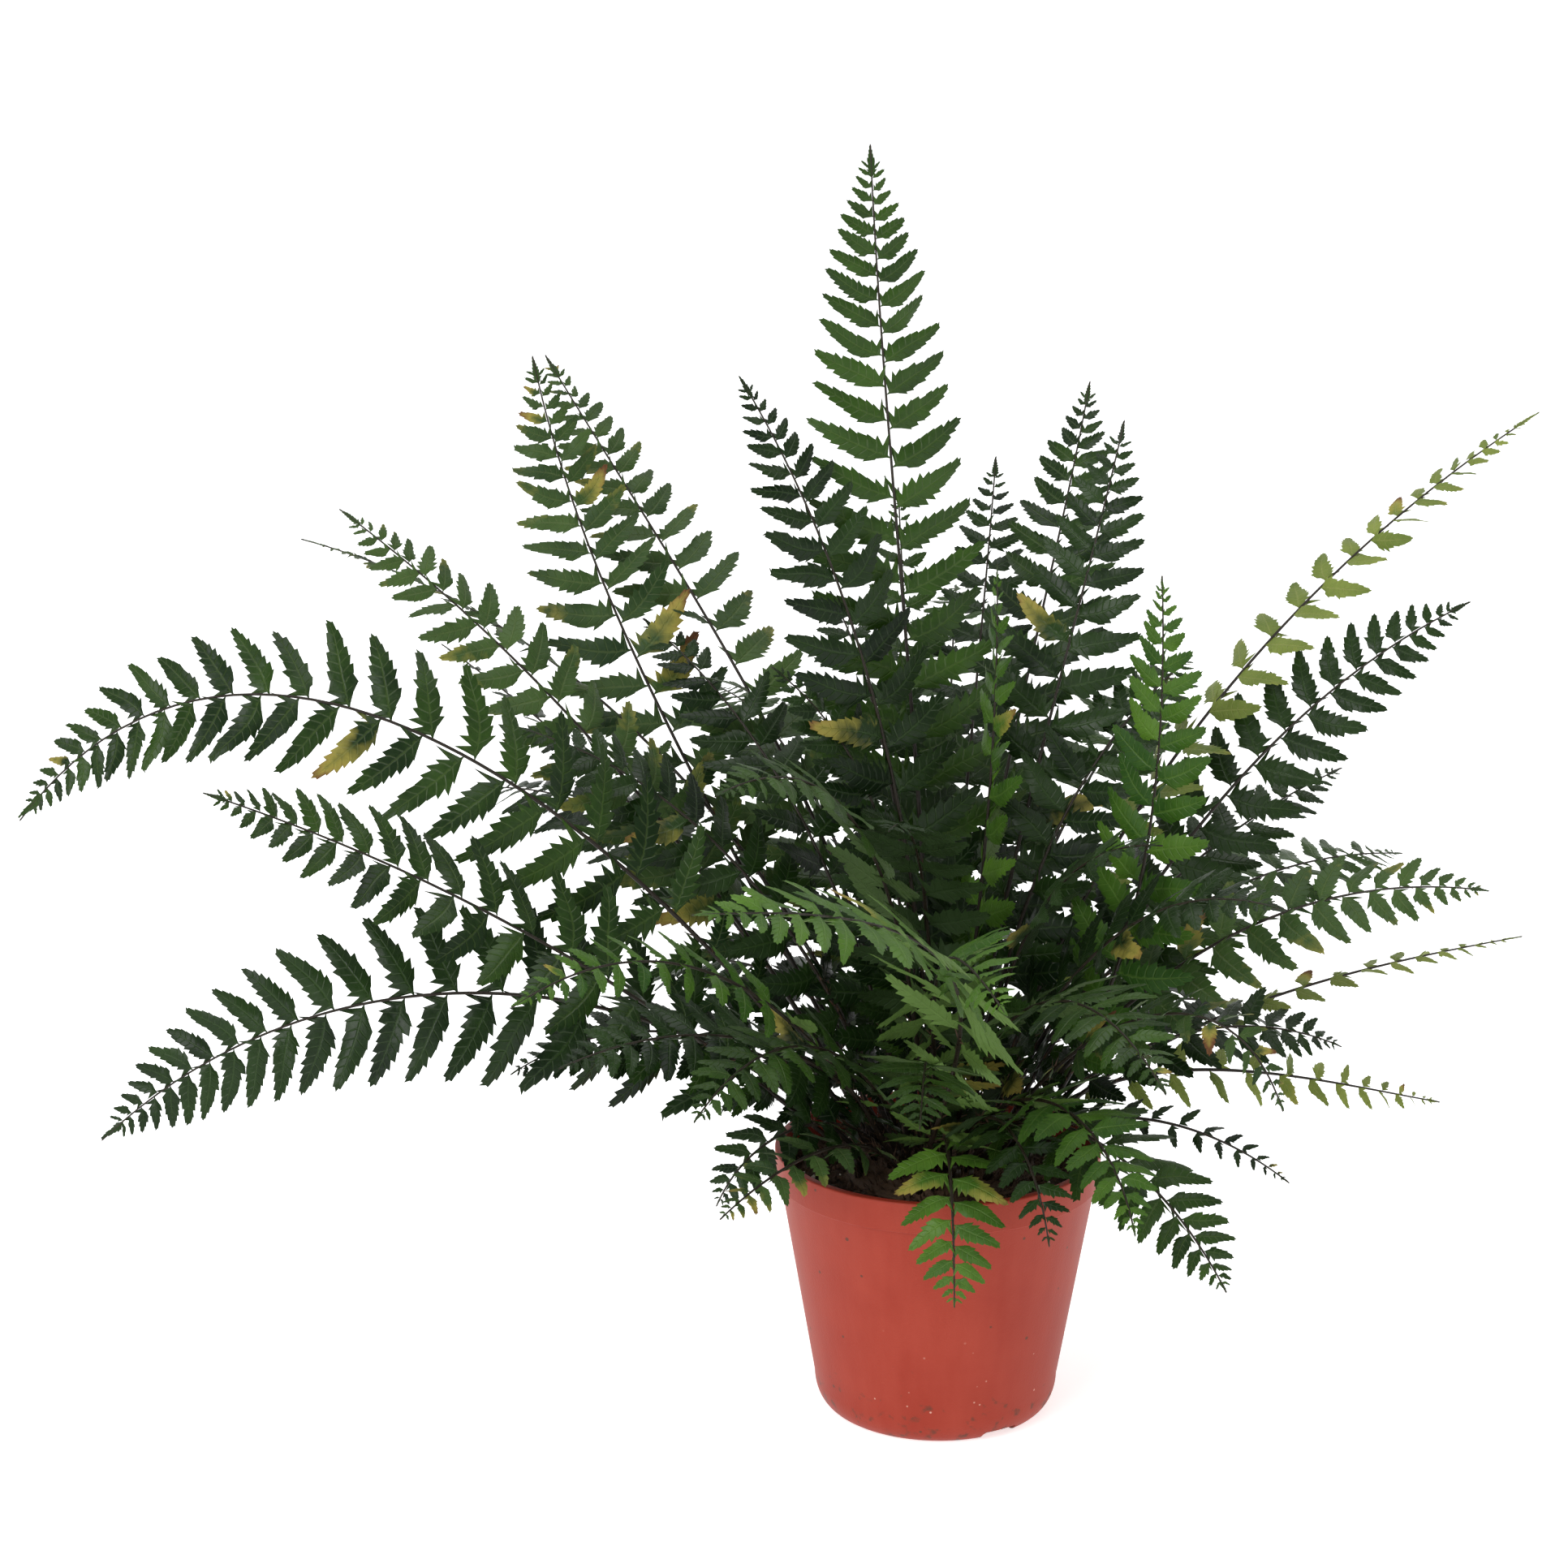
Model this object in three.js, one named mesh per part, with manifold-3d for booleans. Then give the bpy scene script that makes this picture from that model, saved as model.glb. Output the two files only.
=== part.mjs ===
// A holly-type fern in a round plastic nursery pot.
// Millimetres, +Z up. The origin is on the pot's axis, in the plane that the pot stands on.
// +X is the plant's right, +Y its back.
import * as THREE from "three";
import { mergeVertices } from "three/addons/utils/BufferGeometryUtils.js";
import Module from "manifold-3d";

// ---- driving dimensions -------------------------------------------------------------------------

// Pot
const potHeight = 102;
const rimDiameter = 122;
const rimBandHeight = 12;
const rimBandStep = 1.8; // how far the band stands out from the wall below it
const baseDiameter = 92; // where the wall meets the rounded foot
const footRounding = 12; // height of the rounding
const footInnerRise = 1.8; // how far the inside of the rounding has risen halfway out
const footDiameter = 78; // where the rounding meets the ground
const potWall = 1.5;
const floorThickness = 1.8;
const floorRaise = 2.2; // the floor is held clear of the ground between the foot and the centre pad
const footRingWidth = 5;
const centrePadDiameter = 24;
const lipRounding = 0.8;
const drainHoleDiameter = 9;
const drainHoleCount = 6;
const drainHoleRing = 50; // diameter of the circle of drain holes
const footNotchCount = 3;
const footNotchWidth = 15;
const footNotchHeight = 3.4;
const firstFootNotch = -58; // degrees from +X
const potSides = 48;

// Soil and crown
const soilBelowRim = 9;
const soilDome = 1.5; // the soil's edge lies this much lower than its middle
const soilShoulder = 4; // width of the level soil around the crown
const crownDiameter = 74;
const crownHeight = 5;
const soilSides = 32;
const crownSides = 24;
const gap = 0.3; // clearance between pieces that touch

// Fronds
const foliageSize = 1; // 1 is the plant as it grew; reach and width of every frond follow it
const stalkDiameter = 2.4; // at the crown
const stalkTipDiameter = 0.8;
const stalkSteps = 5; // along the bare stalk
const pinnaSpacing = 15.5; // mean distance between pairs of leaflets
const crowding = 1.7; // how quickly the pairs close up towards the tip; 1 is evenly spaced
const mergedPairs = 5; // pairs at the very tip that the end leaflet stands for
const pinnaAngle = 64; // between leaflet and midrib, at the foot of the blade
const pinnaTipAngle = 50; // the same at the blade's tip
const midribSection = [[0.9, 0.4], [-0.9, 0.4], [0, -0.9]]; // corners to the left and up, in radii
const leafletBelly = 0.14; // how far a leaflet's lower edge swells, as a share of the spacing
const endLeafletBelly = [0.35, 0.2]; // its widest place and half width, as shares of its length
const footWidth = 0.72; // the blade's width at its foot, as a share of its full width
const swellRate = 2.8; // how quickly it reaches the full width
const taper = 0.62; // how it narrows to the tip; 1 is an even taper
const leafClearance = 4.2; // between sampled points of different fronds
const potClearance = 2; // between those points and the pot
const sampleSpacing = 3;

// One row for each frond: where its tip is (right, back and rise above the crown), the angle it
// leaves the crown at, the angle it ends at, how far it bows to its own left, how far its face
// leans to its own left, the blade's half width, the bare share of its length, and its colour.
const frondPlan = [
  // name                  right  back  rise launch finish sway roll width bare  tone
  ["frond_top", -26, 70, 368, 89, 82, 0, 0, 41, 0.3, "mature"],
  ["frond_top_left", -74, 40, 287, 88, 54, 0, 25, 34, 0.32, "dark"],
  ["frond_upper_left", -154, 105, 285, 58, 76, 0, 42, 37, 0.3, "olive"],
  ["frond_upper_left_back", -152, 150, 279, 77, 50, -8, 16, 35, 0.3, "olive"],
  ["frond_left_shoulder", -224, 60, 234, 60, 34, 0, 34, 32, 0.32, "olive"],
  ["frond_left_shoulder_back", -247, 120, 211, 70, 8, 0, -24, 20, 0.38, "olive"],
  ["frond_left_thin", -192, 110, 171, 60, 26, 0, -16, 21, 0.36, "dark"],
  ["frond_left_arch", -326, -50, 144, 58, -52, 0, 52, 40, 0.3, "mature"],
  ["frond_left_straight", -251, -110, 170, 44, 24, 0, 44, 35, 0.3, "mature"],
  ["frond_left_low", -299, -70, 32, 50, -42, 0, 66, 37, 0.32, "dark"],
  ["frond_front_left_young", -145, -170, 115, 58, -14, 0, 36, 20, 0.36, "young"],
  ["frond_front_sweep", -85, -235, 166, 58, 8, 75, 30, 34, 0.34, "young"],
  ["frond_front_left_mid", -80, -140, 177, 80, -8, 10, 30, 27, 0.34, "mature"],
  ["frond_front_comb", 12, -200, 122, 70, -12, -26, -30, 27, 0.34, "young"],
  ["frond_centre_upright", 20, 20, 221, 86, 84, -10, 30, 27, 0.32, "young"],
  ["frond_right_glossy", 76, -20, 225, 52, 94, -6, -56, 31, 0.28, "young"],
  ["frond_upper_right_back", 61, 120, 273, 84, 66, 0, 6, 36, 0.32, "mature"],
  ["frond_upper_right", 68, 50, 269, 85, 70, -8, -34, 33, 0.32, "dark"],
  ["frond_back_thin_right", 28, 170, 235, 78, 58, 0, 0, 27, 0.36, "dark"],
  ["frond_back_thin_left", -12, 150, 226, 82, 66, 0, 0, 24, 0.38, "mature"],
  ["frond_right_long", 225, 70, 269, 72, 30, 6, -6, 24, 0.36, "pale"],
  ["frond_right_shoulder", 195, 30, 205, 62, 24, 0, -52, 31, 0.32, "dark"],
  ["frond_right_mid", 191, -50, 118, 60, -4, 0, -36, 28, 0.3, "olive"],
  ["frond_right_pale", 221, 30, 76, 46, 8, 0, 4, 17, 0.34, "pale"],
  ["frond_right_hook", 114, -100, 54, 62, -74, -12, -24, 18, 0.4, "olive"],
  ["frond_right_tapered", 195, 40, 6, 46, -14, 0, -34, 15, 0.36, "pale"],
  ["frond_right_wisp", 123, -60, 12, 52, -32, 0, -20, 12, 0.4, "dark"],
  ["frond_front_right_low", 95, -112, -8, 64, -50, 0, -14, 28, 0.3, "mature"],
  ["frond_front_right_rim", 62, -122, 17, 66, -52, 8, -10, 25, 0.32, "young"],
  ["frond_front_hanging", 2, -97, -20, 72, -80, 0, 0, 24, 0.3, "young"],
  ["frond_front_dark", 34, -107, 7, 72, -66, 0, -6, 20, 0.34, "dark"],
  ["frond_rim_small", -80, -90, 10, 58, -22, 0, 22, 16, 0.36, "olive"],
  ["frond_rim_left", -82, -52, 0, 62, -62, 0, 20, 21, 0.32, "dark"],
  ["frond_left_front_low", -134, -110, 73, 62, -10, 0, 30, 27, 0.28, "dark"],
  ["frond_left_inner", -156, 20, 160, 72, 14, 0, 26, 31, 0.3, "dark"],
  ["frond_right_inner_back", 160, 90, 126, 62, 14, 0, -20, 29, 0.3, "dark"],
  ["frond_centre_left", -62, 10, 185, 86, 36, 0, 30, 31, 0.32, "dark"],
  ["frond_centre_right", 92, 25, 185, 80, 36, 0, -36, 31, 0.32, "dark"],
  ["frond_centre_front", -22, -86, 150, 84, 0, 0, 10, 31, 0.32, "dark"],
  ["frond_centre_back", -40, 92, 196, 84, 30, 0, 12, 31, 0.3, "dark"],
  ["frond_left_back_inner", -112, 88, 186, 78, 26, 0, 18, 31, 0.3, "dark"],
  ["frond_right_front_inner", 74, -62, 138, 78, 6, 0, -16, 29, 0.28, "dark"],
  ["frond_front_right_mid", 112, -84, 122, 70, -6, 0, -24, 30, 0.3, "dark"],
  ["frond_front_left_low", -88, -122, 58, 68, -34, 0, 20, 27, 0.3, "mature"],
  ["frond_front_right_arch", 66, -166, 84, 70, -28, 0, -14, 30, 0.3, "mature"],
  ["frond_left_skirt", -158, -18, 38, 58, -34, 0, 24, 28, 0.28, "dark"],
  ["frond_right_skirt", 148, -10, 46, 58, -24, 0, -22, 26, 0.28, "dark"],
  ["frond_back", 16, 238, 168, 68, 4, 0, 8, 37, 0.3, "mature"],
  ["frond_back_right", 112, 196, 146, 66, 6, 0, -10, 36, 0.3, "mature"],
  ["frond_back_left", -86, 218, 128, 64, -6, 0, 12, 36, 0.3, "mature"],
  ["frond_back_far_left", -186, 186, 92, 58, -14, 0, 16, 34, 0.3, "dark"],
  ["frond_back_far_right", 196, 150, 74, 56, -12, 0, -14, 32, 0.3, "mature"],
  ["frond_back_skirt_right", 66, 166, 22, 60, -44, 0, -8, 29, 0.28, "dark"],
  ["frond_back_skirt_middle", -22, 182, 14, 60, -46, 0, 4, 29, 0.28, "mature"],
  ["frond_back_skirt_left", -118, 134, 18, 60, -44, 0, 12, 28, 0.28, "dark"],
  ["frond_back_skirt_far_right", 144, 96, 12, 58, -42, 0, -10, 27, 0.28, "dark"],
  ["frond_front_low_middle", -12, -128, 58, 74, -28, 0, 4, 28, 0.28, "mature"],
];

// Seats on the crown: an upright frond rises from the middle, a spreading one from the edge.
const innerSeat = 5; // distance from the axis of a frond that rises straight up
const seatMargin = 6; // from the seat of a frond that leaves at the lowest angle to the crown's edge
const lowestLaunch = 44;
// Ways that a midrib gives way to its neighbours: degrees around the crown, millimetres in or out,
// and millimetres of extra bow.
const seatTurns = [0, 9, -9, 18, -18, 27, -27, 36, -36, 48, -48, 60, -60];
const seatShifts = [0, -4, 4, -8];
const farShifts = [-12, -16, -20, 8, 6, 2, -2, -6, -10, -14, -18]; // tried last, on a crowded crown
const extraBows = [0, 8, -8, 16, -16, 24, -24, 36, -36];
// A leaflet turns about the midrib, or stays shorter, where another frond is in its way.
const leafletTurns = [0, 14, -14, 28, -28, 42, -42];
const leafletShares = [1, 0.8, 0.6, 0.4];
const unevenness = 7; // degrees that leaflets vary by
const unevenPhases = [2.4, 1.7, 0.9]; // radians from pair to pair, side to side and frond to frond

const tones = {
  mature: new THREE.MeshStandardMaterial({ color: 0x2f5a2a, roughness: 0.5, metalness: 0 }),
  dark: new THREE.MeshStandardMaterial({ color: 0x1e3d22, roughness: 0.45, metalness: 0 }),
  young: new THREE.MeshStandardMaterial({ color: 0x4a7f33, roughness: 0.5, metalness: 0 }),
  olive: new THREE.MeshStandardMaterial({ color: 0x46562e, roughness: 0.55, metalness: 0 }),
  pale: new THREE.MeshStandardMaterial({ color: 0x7d8c45, roughness: 0.6, metalness: 0 }),
};
const potPlastic = new THREE.MeshStandardMaterial({ color: 0xb5493a, roughness: 0.55, metalness: 0 });
const pottingMix = new THREE.MeshStandardMaterial({ color: 0x2b1d14, roughness: 0.95, metalness: 0 });
const rhizome = new THREE.MeshStandardMaterial({ color: 0x3a2618, roughness: 0.9, metalness: 0 });

// ---- worked-out sizes ---------------------------------------------------------------------------

const rimRadius = rimDiameter / 2;
const rimInnerRadius = rimRadius - rimBandStep - potWall;
const bandFoot = potHeight - rimBandHeight;
const wallTopRadius = rimRadius - rimBandStep;
const baseRadius = baseDiameter / 2;
const footRadius = footDiameter / 2;
const footInnerRadius = footRadius - footRingWidth;
const floorTop = floorRaise + floorThickness;
const soilTop = potHeight - soilBelowRim;
const crownTop = soilTop + crownHeight;
const seatHeight = crownTop + gap;
const outerSeat = crownDiameter / 2 - seatMargin;

const degrees = THREE.MathUtils.degToRad;
const up = new THREE.Vector3(0, 0, 1);

// The point at a radius and an angle (in radians) around the pot's axis.
function onCircle(radius, turn, z) {
  return new THREE.Vector3(radius * Math.cos(turn), radius * Math.sin(turn), z);
}

// Inner radius of the pot at a height above its rounded foot: an even taper, then upright in the band.
function insideRadius(z) {
  const share = Math.min((z - footRounding) / (bandFoot - footRounding), 1);
  return baseRadius - potWall + (rimInnerRadius - baseRadius + potWall) * share;
}

// The inside of the pot's rounded foot, from the floor's edge to the wall, drawn in by an inset.
function insideFoot(inset) {
  return [
    [footInnerRadius - inset, floorTop + inset],
    [(footInnerRadius + baseRadius) / 2 - inset, floorTop + footInnerRise + inset],
    [baseRadius - potWall - inset, footRounding + inset],
  ];
}

// ---- solids -------------------------------------------------------------------------------------

// A closed solid of revolution about Z from an outline of [radius, height] points.
function turned(outline, sides) {
  const points = outline.map(([radius, z]) => new THREE.Vector2(radius, z));
  const geometry = new THREE.LatheGeometry(points, sides);
  geometry.rotateX(Math.PI / 2);
  return geometry;
}

const wasm = await Module();
wasm.setup();

// A manifold solid from a geometry, with only its corner positions kept.
function toSolid(geometry) {
  const bare = geometry.clone();
  bare.deleteAttribute("normal");
  bare.deleteAttribute("uv");
  const merged = mergeVertices(bare, 1e-4);
  const vertProperties = Float32Array.from(merged.attributes.position.array);
  const triVerts = Uint32Array.from(merged.index.array);
  return new wasm.Manifold(new wasm.Mesh({ numProp: 3, vertProperties, triVerts }));
}

// A geometry from a manifold solid.
function toGeometry(solid) {
  const mesh = solid.getMesh();
  const geometry = new THREE.BufferGeometry();
  geometry.setAttribute("position", new THREE.BufferAttribute(Float32Array.from(mesh.vertProperties), 3));
  geometry.setIndex(new THREE.BufferAttribute(Uint32Array.from(mesh.triVerts), 1));
  geometry.computeVertexNormals();
  return geometry;
}

// ---- pot ----------------------------------------------------------------------------------------

// Outline of the pot's section, from the centre pad out, up the wall, over the rim and back inside.
function potOutline() {
  const padRadius = centrePadDiameter / 2;
  const outline = [
    [0, 0],
    [padRadius, 0],
    [padRadius + 1, floorRaise],
    [footInnerRadius - 1, floorRaise],
    [footInnerRadius, 0],
  ];
  const roundingSteps = 5;
  for (let i = 0; i <= roundingSteps; i += 1) {
    const turn = (Math.PI / 2) * (i / roundingSteps);
    const radius = footRadius + (baseRadius - footRadius) * Math.sin(turn);
    outline.push([radius, footRounding * (1 - Math.cos(turn))]);
  }
  outline.push(
    [wallTopRadius, bandFoot],
    [rimRadius - lipRounding / 2, bandFoot + lipRounding],
    [rimRadius, potHeight - lipRounding],
    [rimRadius - lipRounding, potHeight],
    [rimInnerRadius + lipRounding, potHeight],
    [rimInnerRadius, potHeight - lipRounding],
    [rimInnerRadius, bandFoot],
    ...insideFoot(0).reverse(),
    [0, floorTop],
  );
  return outline;
}

// The holes in the floor and the notches in the foot that let water out.
function drainCuts() {
  const cuts = [];
  for (let i = 0; i < drainHoleCount; i += 1) {
    const radius = drainHoleDiameter / 2;
    const cutter = new THREE.CylinderGeometry(radius, radius, 3 * floorTop, 16);
    cutter.rotateX(Math.PI / 2);
    cutter.translate(...onCircle(drainHoleRing / 2, (2 * Math.PI * i) / drainHoleCount, floorTop / 2));
    cuts.push(cutter);
  }
  for (let i = 0; i < footNotchCount; i += 1) {
    const cutter = new THREE.BoxGeometry(baseRadius, footNotchWidth, 2 * footNotchHeight);
    cutter.translate(footInnerRadius - 2 + baseRadius / 2, 0, 0);
    cutter.rotateZ(degrees(firstFootNotch + (360 * i) / footNotchCount));
    cuts.push(cutter);
  }
  return cuts;
}

function makePot() {
  let solid = toSolid(turned(potOutline(), potSides));
  for (const cutter of drainCuts()) solid = solid.subtract(toSolid(cutter));
  return toGeometry(solid);
}

// ---- soil and crown -----------------------------------------------------------------------------

// The plug of potting mix, a gap clear of the pot's floor and wall, a little domed on top.
function makeSoil() {
  const inset = 1.5 * gap;
  const edgeTop = soilTop - soilDome;
  const outline = [
    [0, floorTop + inset],
    ...insideFoot(inset),
    [insideRadius(edgeTop) - inset, edgeTop],
    [crownDiameter / 2 + soilShoulder, soilTop],
    [0, soilTop],
  ];
  return turned(outline, soilSides);
}

// The short rhizome that all fronds rise from: a low flat-topped cushion on the soil.
function makeCrown() {
  const radius = crownDiameter / 2;
  const outline = [
    [0, soilTop + gap],
    [radius, soilTop + gap],
    [radius, soilTop + 0.6 * crownHeight],
    [radius - 0.4 * crownHeight, crownTop],
    [0, crownTop],
  ];
  return turned(outline, crownSides);
}

// ---- room for the leaves ------------------------------------------------------------------------

// Points already taken by fronds, in cells one clearance wide.
const takenCells = new Map();

function cellKey(i, j, k) {
  return `${i},${j},${k}`;
}

function take(points, owner) {
  for (const point of points) {
    const key = cellKey(...point.toArray().map((value) => Math.floor(value / leafClearance)));
    if (!takenCells.has(key)) takenCells.set(key, []);
    takenCells.get(key).push({ point, owner });
  }
}

// Whether a point keeps the clearance to every frond but its own.
function clearOfFronds(point, owner) {
  const [i, j, k] = point.toArray().map((value) => Math.floor(value / leafClearance));
  for (let a = i - 1; a <= i + 1; a += 1) {
    for (let b = j - 1; b <= j + 1; b += 1) {
      for (let c = k - 1; c <= k + 1; c += 1) {
        for (const taken of takenCells.get(cellKey(a, b, c)) ?? []) {
          if (taken.owner !== owner && taken.point.distanceTo(point) < leafClearance) return false;
        }
      }
    }
  }
  return true;
}

// Whether a point is clear of the pot, the soil, the crown and the ground.
function clearOfPot(point) {
  const radius = Math.hypot(point.x, point.y);
  if (point.z < potClearance) return false;
  if (radius < rimInnerRadius - potClearance) return point.z > crownTop + potClearance;
  if (radius < rimRadius + potClearance) return point.z > potHeight + potClearance;
  return true;
}

// ---- fronds -------------------------------------------------------------------------------------

// The midrib's line: an arch that leaves its seat at the launch angle and reaches the tip at the
// finish angle, with handles as long as those of a circular arc that turns as much.
function midribLine(frond, bow, seatTurn, seatShift) {
  const tip = new THREE.Vector3(frond.right, frond.back, frond.rise).multiplyScalar(foliageSize);
  tip.z += seatHeight;
  const azimuth = Math.atan2(tip.y, tip.x);
  const steepness = (frond.launch - lowestLaunch) / (90 - lowestLaunch);
  const seatRadius = Math.max(outerSeat + (innerSeat - outerSeat) * steepness + seatShift, 0);
  const seat = onCircle(seatRadius, azimuth + degrees(seatTurn), seatHeight);
  const outward = onCircle(1, azimuth, 0);
  const left = onCircle(1, azimuth + Math.PI / 2, 0);
  const turn = degrees(Math.max(Math.abs(frond.launch - frond.finish), 20));
  const handle = (seat.distanceTo(tip) * (2 / 3) * Math.tan(turn / 4)) / Math.sin(turn / 2);
  const sway = (frond.sway + bow) * foliageSize;
  const start = seat.clone().addScaledVector(outward, handle * Math.cos(degrees(frond.launch)));
  start.addScaledVector(up, handle * Math.sin(degrees(frond.launch)));
  start.addScaledVector(left, sway / 2);
  const end = tip.clone().addScaledVector(outward, -handle * Math.cos(degrees(frond.finish)));
  end.addScaledVector(up, -handle * Math.sin(degrees(frond.finish)));
  end.addScaledVector(left, sway);
  return { curve: new THREE.CubicBezierCurve3(seat, start, end, tip), left };
}

// Points along the midrib, for the test of room.
function midribSamples(curve) {
  const steps = Math.ceil(curve.getLength() / sampleSpacing);
  const samples = [];
  for (let i = 0; i <= steps; i += 1) samples.push(curve.getPointAt(i / steps));
  return samples;
}

// Where the midrib's rings stand, as shares of the frond's length: the bare stalk in even steps, then
// one ring for each pair of leaflets, closer together towards the tip. The last few pairs, too small
// to stand apart, are one end leaflet.
function ringShares(frond, length) {
  const shares = [];
  for (let i = 0; i < stalkSteps; i += 1) shares.push((frond.bare * i) / stalkSteps);
  const blade = length * (1 - frond.bare);
  const pairs = Math.max(Math.round(blade / pinnaSpacing), 4);
  for (let i = 0; i <= pairs; i += 1) {
    const bladeShare = 1 - (1 - i / (pairs + mergedPairs)) ** crowding;
    shares.push(frond.bare + (1 - frond.bare) * bladeShare);
  }
  return { shares, pairs };
}

// The midrib's section at a share of its length: its centre, its direction of growth, the blade's
// left and its face, and the section's three corners.
function ringAt(frond, line, share) {
  const centre = line.curve.getPointAt(share);
  const along = share > 0 ? line.curve.getTangentAt(share) : up.clone();
  const flat = line.left.clone().addScaledVector(along, -line.left.dot(along)).normalize();
  const level = along.clone().cross(flat);
  const roll = degrees(share > frond.bare * 0.5 ? frond.roll : 0);
  const left = flat.clone().multiplyScalar(Math.cos(roll)).addScaledVector(level, -Math.sin(roll));
  const face = level.clone().multiplyScalar(Math.cos(roll)).addScaledVector(flat, Math.sin(roll));
  const radius = (stalkDiameter + (stalkTipDiameter - stalkDiameter) * share) / 2;
  const corners = midribSection.map(([sideways, upwards]) =>
    centre.clone().addScaledVector(left, sideways * radius).addScaledVector(face, upwards * radius),
  );
  return { centre, along, left, face, corners };
}

// Half the blade's width at a share of the blade: it swells quickly from the foot, then narrows
// almost evenly to the tip.
function bladeHalfWidth(frond, bladeShare) {
  const swell = Math.min(1, footWidth + swellRate * bladeShare);
  return frond.width * foliageSize * swell * (1 - bladeShare) ** taper;
}

// The outline of one leaflet between two rings: its belly and its tip. side is 1 on the left, -1 on
// the right.
function leafletOutline(frond, lower, upper, side, index, turnDegrees, share) {
  const cornerIndex = side > 0 ? 0 : 1;
  const foot = lower.corners[cornerIndex];
  const middle = foot.clone().add(upper.corners[cornerIndex]).multiplyScalar(0.5);
  const bladeShare = (0.5 * (lower.share + upper.share) - frond.bare) / (1 - frond.bare);
  const angle = degrees(pinnaAngle + (pinnaTipAngle - pinnaAngle) * bladeShare);
  const [perPair, perSide, perFrond] = unevenPhases;
  const uneven = unevenness * Math.sin(perPair * index + perSide * side + perFrond * frond.number);
  const turn = degrees(turnDegrees + uneven);
  const length = (share * bladeHalfWidth(frond, bladeShare)) / Math.sin(angle);
  const direction = lower.along.clone().multiplyScalar(Math.cos(angle));
  direction.addScaledVector(lower.left, side * Math.cos(turn) * Math.sin(angle));
  direction.addScaledVector(lower.face, -Math.sin(turn) * Math.sin(angle));
  const tip = middle.clone().addScaledVector(direction, length);
  const spacing = lower.centre.distanceTo(upper.centre);
  const belly = foot.clone().lerp(tip, 0.5).addScaledVector(lower.along, -leafletBelly * spacing);
  return { foot, belly, tip, head: upper.corners[cornerIndex] };
}

// Points spread over a leaflet, for the test of room, from just off the midrib to the tip.
function leafletSamples({ foot, belly, tip, head }) {
  const rows = Math.max(2, Math.ceil(foot.distanceTo(tip) / sampleSpacing));
  const samples = [];
  for (let i = 1; i <= rows; i += 1) {
    const out = i / rows;
    const lowerEdge = out < 0.5 ? foot.clone().lerp(belly, out * 2) : belly.clone().lerp(tip, out * 2 - 1);
    const upperEdge = head.clone().lerp(tip, out);
    const across = Math.max(1, Math.ceil(lowerEdge.distanceTo(upperEdge) / sampleSpacing));
    for (let j = 0; j <= across; j += 1) samples.push(lowerEdge.clone().lerp(upperEdge, j / across));
  }
  return samples;
}

// The first outline with room for it, or null where there is none.
function growLeaflet(frond, lower, upper, side, index) {
  for (const share of leafletShares) {
    for (const turn of leafletTurns) {
      const outline = leafletOutline(frond, lower, upper, side, index, turn, share);
      const samples = leafletSamples(outline);
      const fits = samples.every((point) => clearOfPot(point) && clearOfFronds(point, frond.number));
      if (fits) {
        take(samples, frond.number);
        return outline;
      }
    }
  }
  return null;
}

// A growing list of corners and triangles.
class Skin {
  constructor() {
    this.positions = [];
    this.triangles = [];
  }

  corner(point) {
    this.positions.push(point.x, point.y, point.z);
    return this.positions.length / 3 - 1;
  }

  // A triangle, turned over for the right-hand side, where left and right are mirrored.
  face(a, b, c, side = 1) {
    if (side > 0) this.triangles.push(a, b, c);
    else this.triangles.push(a, c, b);
  }

  geometry() {
    const geometry = new THREE.BufferGeometry();
    geometry.setAttribute("position", new THREE.Float32BufferAttribute(this.positions, 3));
    geometry.setIndex(this.triangles);
    geometry.computeVertexNormals();
    return geometry;
  }
}

// The side of the midrib between two rings, as a leaflet or as a plain strip.
function skinSide(skin, lower, upper, side, outline) {
  const [top, topNext] = side > 0 ? [lower[0], upper[0]] : [lower[1], upper[1]];
  const [keel, keelNext] = [lower[2], upper[2]];
  if (!outline) {
    skin.face(top, keelNext, keel, side);
    skin.face(top, topNext, keelNext, side);
    return;
  }
  const belly = skin.corner(outline.belly);
  const tip = skin.corner(outline.tip);
  skin.face(top, tip, belly, side);
  skin.face(top, topNext, tip, side);
  skin.face(keel, belly, tip, side);
  skin.face(keel, tip, keelNext, side);
  skin.face(top, belly, keel, side);
  skin.face(topNext, keelNext, tip, side);
}

// The blade's end: one leaflet with a belly on each side, drawn out to the tip.
function skinTip(skin, ring, last, apexPoint) {
  const reach = ring.centre.distanceTo(apexPoint);
  const [place, halfWidth] = endLeafletBelly;
  const belly = (side) => {
    const point = ring.centre.clone().lerp(apexPoint, place);
    return skin.corner(point.addScaledVector(ring.left, side * halfWidth * reach));
  };
  const apex = skin.corner(apexPoint);
  const [left, right, keel] = last;
  const [leftBelly, rightBelly] = [belly(1), belly(-1)];
  skin.face(left, apex, leftBelly);
  skin.face(left, right, apex);
  skin.face(right, rightBelly, apex);
  skin.face(keel, leftBelly, apex);
  skin.face(keel, apex, rightBelly);
  skin.face(left, leftBelly, keel);
  skin.face(right, keel, rightBelly);
}

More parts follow.
